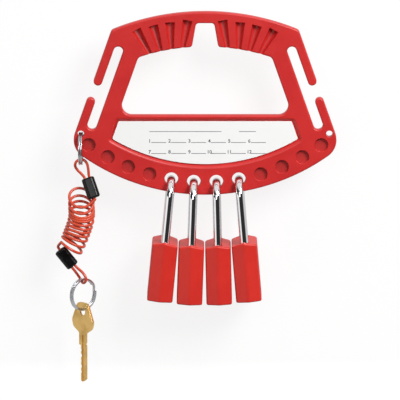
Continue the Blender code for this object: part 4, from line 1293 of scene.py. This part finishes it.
upper_seat = math.sqrt(LANYARD_HOLE**2 - HALF_STACK**2) - GAP
upper_drop = upper_seat + math.sqrt(RING_INSIDE**2 - FRONT**2)
upper_hang = Vector(joint("upper_ring_swing")["pos_m"])
lower_hang = Vector(joint("lower_ring_swing")["pos_m"])
across_key = Vector(joint("lower_ring_swing")["axis"])
RING_TURN, UPPER_TURN = math.atan2(across_key.y, across_key.x), math.radians(-3)
UPPER_ROLL, LOWER_ROLL = math.radians(-75), math.radians(20)
upper_middle = upper_hang - Vector((0, 0, upper_drop))
lower_middle = lower_hang - Vector((0, 0, RING_MIDDLE))
hang_ring("upper_split_ring", upper_middle, UPPER_TURN, UPPER_ROLL, "upper_ring")
lower_split_ring = hang_ring("lower_split_ring", lower_middle, RING_TURN, LOWER_ROLL, "lower_ring")
bpy.data.objects.remove(ring)
print("lower ring turned by", round(math.degrees(RING_TURN)), "degrees")

# %% [markdown]
# The two loops of the cord are held by crimped sleeves: short oval tubes of black plastic. A block with
# well rounded edges makes one, with a hollow at each end where the cord goes in.

# %% Crimped sleeves
SLEEVE_WIDE, SLEEVE_DEEP, SLEEVE_LONG = mm(9.8, 6.4, 16.2)
SLEEVE_ROUND, SLEEVE_EDGE, SLEEVE_START = mm(3.1, 1.5, 0.9)
MOUTH_RIM, MOUTH_SLANT, MOUTH_DEEP = mm(0.4, 0.3, 0.5)
OUTSIDE = 0.98  # an outer edge lies at least this far out, as a sum of its shares of the half width and depth

half_wide, half_deep = SLEEVE_WIDE / 2, SLEEVE_DEEP / 2
crimp = box("sleeve", (-half_wide, -half_deep, -SLEEVE_LONG), (half_wide, half_deep, 0))
round_edges(crimp, lambda edge: runs_up(edge, half_wide, half_deep), SLEEVE_ROUND, 8)
pick(crimp, faces=lambda face: abs(face.normal.z) > 0.9)
bpy.ops.mesh.inset(thickness=SLEEVE_EDGE + MOUTH_RIM)
bpy.ops.mesh.inset(thickness=MOUTH_SLANT, depth=-MOUTH_DEEP)
leave()


def is_end_rim(edge):
    """An edge round the outside of an end. The mouth's rim lies further in."""
    outermost = max(abs(end.co.x) / half_wide + abs(end.co.y) / half_deep for end in edge.verts)
    at_end = at_height(edge, 0) or at_height(edge, -SLEEVE_LONG)
    return at_end and is_sharp(edge) and turn_of(edge) < 120 and outermost > OUTSIDE


rims = round_edges(crimp, is_end_rim, SLEEVE_EDGE, 6)
dress(crimp, ferrule_plastic)
print("sleeve:", rims, "edges at its ends rounded")


def fit_sleeve(name, ends, node):
    """A copy of the sleeve, from one point towards another."""
    down = (ends[1] - ends[0]).normalized()
    across = (Vector((1, 0, 0)) - down.x * down).normalized()
    turn = Matrix((across, (-down).cross(across), -down)).transposed().to_4x4()
    piece = copy_of(crimp, name, Matrix.Translation(ends[0] - SLEEVE_START * down) @ turn)
    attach(piece, "lanyard")
    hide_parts(node)
    return piece


sleeves = [
    fit_sleeve("upper_sleeve", UPPER_FERRULE, "upper_ferrule"),
    fit_sleeve("lower_sleeve", LOWER_FERRULE, "lower_ferrule"),
]
bpy.data.objects.remove(crimp)

# %% [markdown]
# The key is stamped from a brass strip and cut. Its outline is drawn and pulled to its thickness. The
# hole, the shoulder, the bites and a small nick in the neck are cut before its edges are softened, and
# then a groove is cut along each side of the blade.

# %% The key
KEY_THICK, KEY_EDGE = mm(2.0, 0.25)
KEY_HOLE, KEY_TOP, KEY_TIP = mm(3.1, 6.9, -54.6)
BOW_WIDE, BOW_WIDEST, BOW_SHOULDER, BOW_ROUND = mm(12.0, -7.5, -16.5, 5.0)
NECK, SHOULDER, SHOULDER_STEP = mm(3.8, -26.0, 2.1)
BITES = mm(0.6, 1.1, 0.4, 0.9, 0.6)
BITE_PITCH, BITE_FIRST, BITE_WIDE = mm(4.2, 4.0, 1.3)
NICK = 0.8 * MM
GROOVE, GROOVE_DEEP, GROOVE_OFF = mm(1.5, 0.6, -0.7)
TIP_BLUNT, RIM_MISS = mm(0.4, 0.1)
TIP_SLANT, BOW_FOOT, BOW_LOWER, BOW_UPPER = (math.radians(angle) for angle in (-55, -60, -18, 24))

key_edges = [
    Straight((0, KEY_TIP + TIP_BLUNT), -math.pi / 2), Straight((0, KEY_TIP), TIP_SLANT),
    Straight((NECK, 0), 0), Straight((NECK, BOW_SHOULDER), BOW_FOOT),
    Straight((BOW_WIDE, BOW_WIDEST), BOW_LOWER), Straight((BOW_WIDE, BOW_WIDEST), BOW_UPPER),
    Straight((0, KEY_TOP), math.pi / 2),
]
key_radii = [2 * KEY_EDGE, 2 * KEY_EDGE, -6 * KEY_EDGE] + [BOW_ROUND] * 3


def is_key_rim(edge):
    """A sharp edge along one of the key's two faces."""
    first, second = (vertex.co.y for vertex in edge.verts)
    return is_sharp(edge) and abs(first) > KEY_THICK / 2 - RIM_MISS and abs(first - second) < TINY


key_piece = slab("cut_key", outline(key_edges, key_radii), -KEY_THICK / 2, KEY_THICK / 2)
cut(key_piece, drill(Vector((0, 0)), KEY_HOLE, -KEY_THICK, KEY_THICK))
cut(key_piece, box(
    "step", (-NECK - PAST, -KEY_THICK, KEY_TIP - PAST), (-NECK + SHOULDER_STEP, KEY_THICK, SHOULDER)
))
blade_edge = -NECK + SHOULDER_STEP
notches = []
for place, depth in enumerate(BITES):
    middle = SHOULDER - BITE_FIRST - place * BITE_PITCH
    notches.append([
        (blade_edge - PAST, middle - BITE_WIDE - PAST), (blade_edge + depth, middle - BITE_WIDE / 3),
        (blade_edge + depth, middle + BITE_WIDE / 3), (blade_edge - PAST, middle + BITE_WIDE + PAST),
    ])
middle = SHOULDER + MM
notches.append([
    (NECK + PAST, middle - PAST), (NECK - NICK, middle - NICK / 2),
    (NECK - NICK, middle + NICK / 2), (NECK + PAST, middle + PAST),
])
for line in notches:
    cut(key_piece, slab("notch", line, -KEY_THICK, KEY_THICK))
round_edges(key_piece, is_key_rim, KEY_EDGE, 3)
for side in (-1, 1):
    middle, depths = side * GROOVE_OFF, sorted((side * (KEY_THICK / 2 - GROOVE_DEEP), side * KEY_THICK))
    cut(key_piece, box(
        "groove", (middle - GROOVE / 2, depths[0], KEY_TIP - PAST),
        (middle + GROOVE / 2, depths[1], SHOULDER + 2 * BITE_FIRST),
    ))
dress(key_piece, key_brass)
key_hang = Vector(joint("key_swing")["pos_m"])
key_height = RING_HIGH / 2 + GAP - math.sqrt(KEY_HOLE**2 - HALF_STACK**2)
key_origin = key_hang + Vector((0, 0, key_height))
place_mesh(key_piece, Matrix.Translation(key_origin) @ Matrix.Rotation(RING_TURN, 4, "Z"))
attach(key_piece, "key")
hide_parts("key")
print("key:", len(key_piece.data.polygons), "faces")

# %% The pieces on the cord: its sleeves and the lower ring
sleeves + [lower_split_ring]

# %% [markdown]
# ## Studio
#
# The carrier hangs close in front of a white wall that curves into a pale floor. The wall is there for
# the camera and, duller, for reflections. Other light passes it, so the back of the carrier is lit too,
# and from behind it is see-through. Chrome needs something dark to show, because a round rod mirrors the
# whole room in its width. So the room is dim in front and bright behind and overhead, with a strip of
# light at each side. A large lamp at the upper right makes the shadows, and a weak one in front fills
# them.

# %% Wall and floor
WALL_BEHIND, FLOOR_BELOW, SWEEP = mm(14, 10, 20)
STAGE_WIDE, STAGE_HIGH, STAGE_DEEP = 3.0, 1.8, 0.22
WALL_GLOW = 0.86  # how much of its white needs no light
MIRRORED = 0.6  # how bright that white is in a mirror

wall_y, floor_z = cad_high.y + WALL_BEHIND, cad_low.z - FLOOR_BELOW


def is_inner_edge(edge):
    """The edge where the wall meets the floor."""
    return all(vertex.co.y > wall_y - MM and vertex.co.z < floor_z + MM for vertex in edge.verts)


deselect()
bpy.ops.mesh.primitive_plane_add(size=STAGE_DEEP, location=(AIM.x, wall_y - STAGE_DEEP / 2, floor_z))
backdrop = settled("studio_backdrop")
pick(backdrop, edges=is_inner_edge)
pull(0, 0, STAGE_HIGH)
bpy.ops.mesh.select_all(action="SELECT")
bpy.ops.transform.resize(value=(STAGE_WIDE / STAGE_DEEP, 1, 1))
leave()
round_edges(backdrop, is_inner_edge, SWEEP, 12)

paper = Finish("studio_paper")
paper.set(Base_Color=(0.97, 0.97, 0.97, 1), Roughness=0.85, Specular_IOR_Level=0.0)
RAYS = ("Is Camera Ray", "Is Glossy Ray", "Is Transmission Ray")
camera_ray, mirror_ray, glass_ray = (paper.node("ShaderNodeLightPath", {}, {}, ray) for ray in RAYS)
seen = camera_ray + mirror_ray + glass_ray
glow = paper.node("ShaderNodeEmission", {}, {"Color": WHITE, "Strength": 1 - mirror_ray * (1 - MIRRORED)})
lit = Wire(paper.tree, paper.shader.outputs[0])
front = paper.node("ShaderNodeMixShader", {}, {0: WALL_GLOW, 1: lit, 2: glow})
clear = paper.node("ShaderNodeBsdfTransparent", {}, {})
behind = paper.node("ShaderNodeNewGeometry", {}, {}, "Backfacing")
shown = paper.node("ShaderNodeMixShader", {}, {0: seen * (1 - behind), 1: clear, 2: front})
paper.put(paper.tree.nodes["Material Output"], {"Surface": shown})
dress(backdrop, paper.material)
print("wall at", round(wall_y / MM, 1), "mm, floor at", round(floor_z / MM, 1), "mm")

# %% Room and lamps
# Where each light begins and where it is full, by how far a direction leans that way
DIM = 0.03  # the room where nothing lights it
BEHIND = (-0.15, 0.35)
OVERHEAD, OVERHEAD_LIGHT = (0.5, 0.8), 0.85
LEFT, LEFT_FOOT, LEFT_HEAD = (0.48, 0.62), (-0.6, -0.5), (0.05, 0.15)
RIGHT, RIGHT_LIGHT = (0.88, 0.97), 0.4

world = bpy.data.worlds.new("studio_room")
bpy.context.scene.world = world
room = Shading(world)
way = room.node("ShaderNodeTexCoord", {}, {}, "Generated")
rightward, backward, upward = (
    room.node("ShaderNodeSeparateXYZ", {}, {"Vector": way}, axis) for axis in "XYZ"
)
behind_it = room.mask(backward, *BEHIND)
overhead = room.mask(upward, *OVERHEAD) * OVERHEAD_LIGHT
left_height = room.mask(upward, *LEFT_FOOT) - room.mask(upward, *LEFT_HEAD)
left_strip = room.mask(rightward * -1, *LEFT) * left_height
right_strip = room.mask(rightward, *RIGHT) * RIGHT_LIGHT
level = 1 - (1 - behind_it) * (1 - overhead) * (1 - left_strip) * (1 - right_strip) * (1 - DIM)
camera_ray = room.node("ShaderNodeLightPath", {}, {}, "Is Camera Ray")
strength = level + camera_ray * (1 - level)
room.put(world.node_tree.nodes["Background"], {"Color": WHITE, "Strength": strength})


def lamp(name, place, size, power):
    """A square soft lamp that looks at the middle of the carrier."""
    place = Vector(place)
    deselect()
    bpy.ops.object.light_add(type="AREA", location=AIM + place)
    light = bpy.context.object
    light.name = light.data.name = name
    light.rotation_euler = place.to_track_quat("Z", "Y").to_euler()
    light.data.size = size
    light.data.energy = power


lamp("key_lamp", (0.95, -1.32, 1.15), 0.8, 39.0)
lamp("fill_lamp", (-0.3, -1.9, 0.6), 0.9, 7.5)
bpy.context.scene.view_settings.view_transform = "Standard"
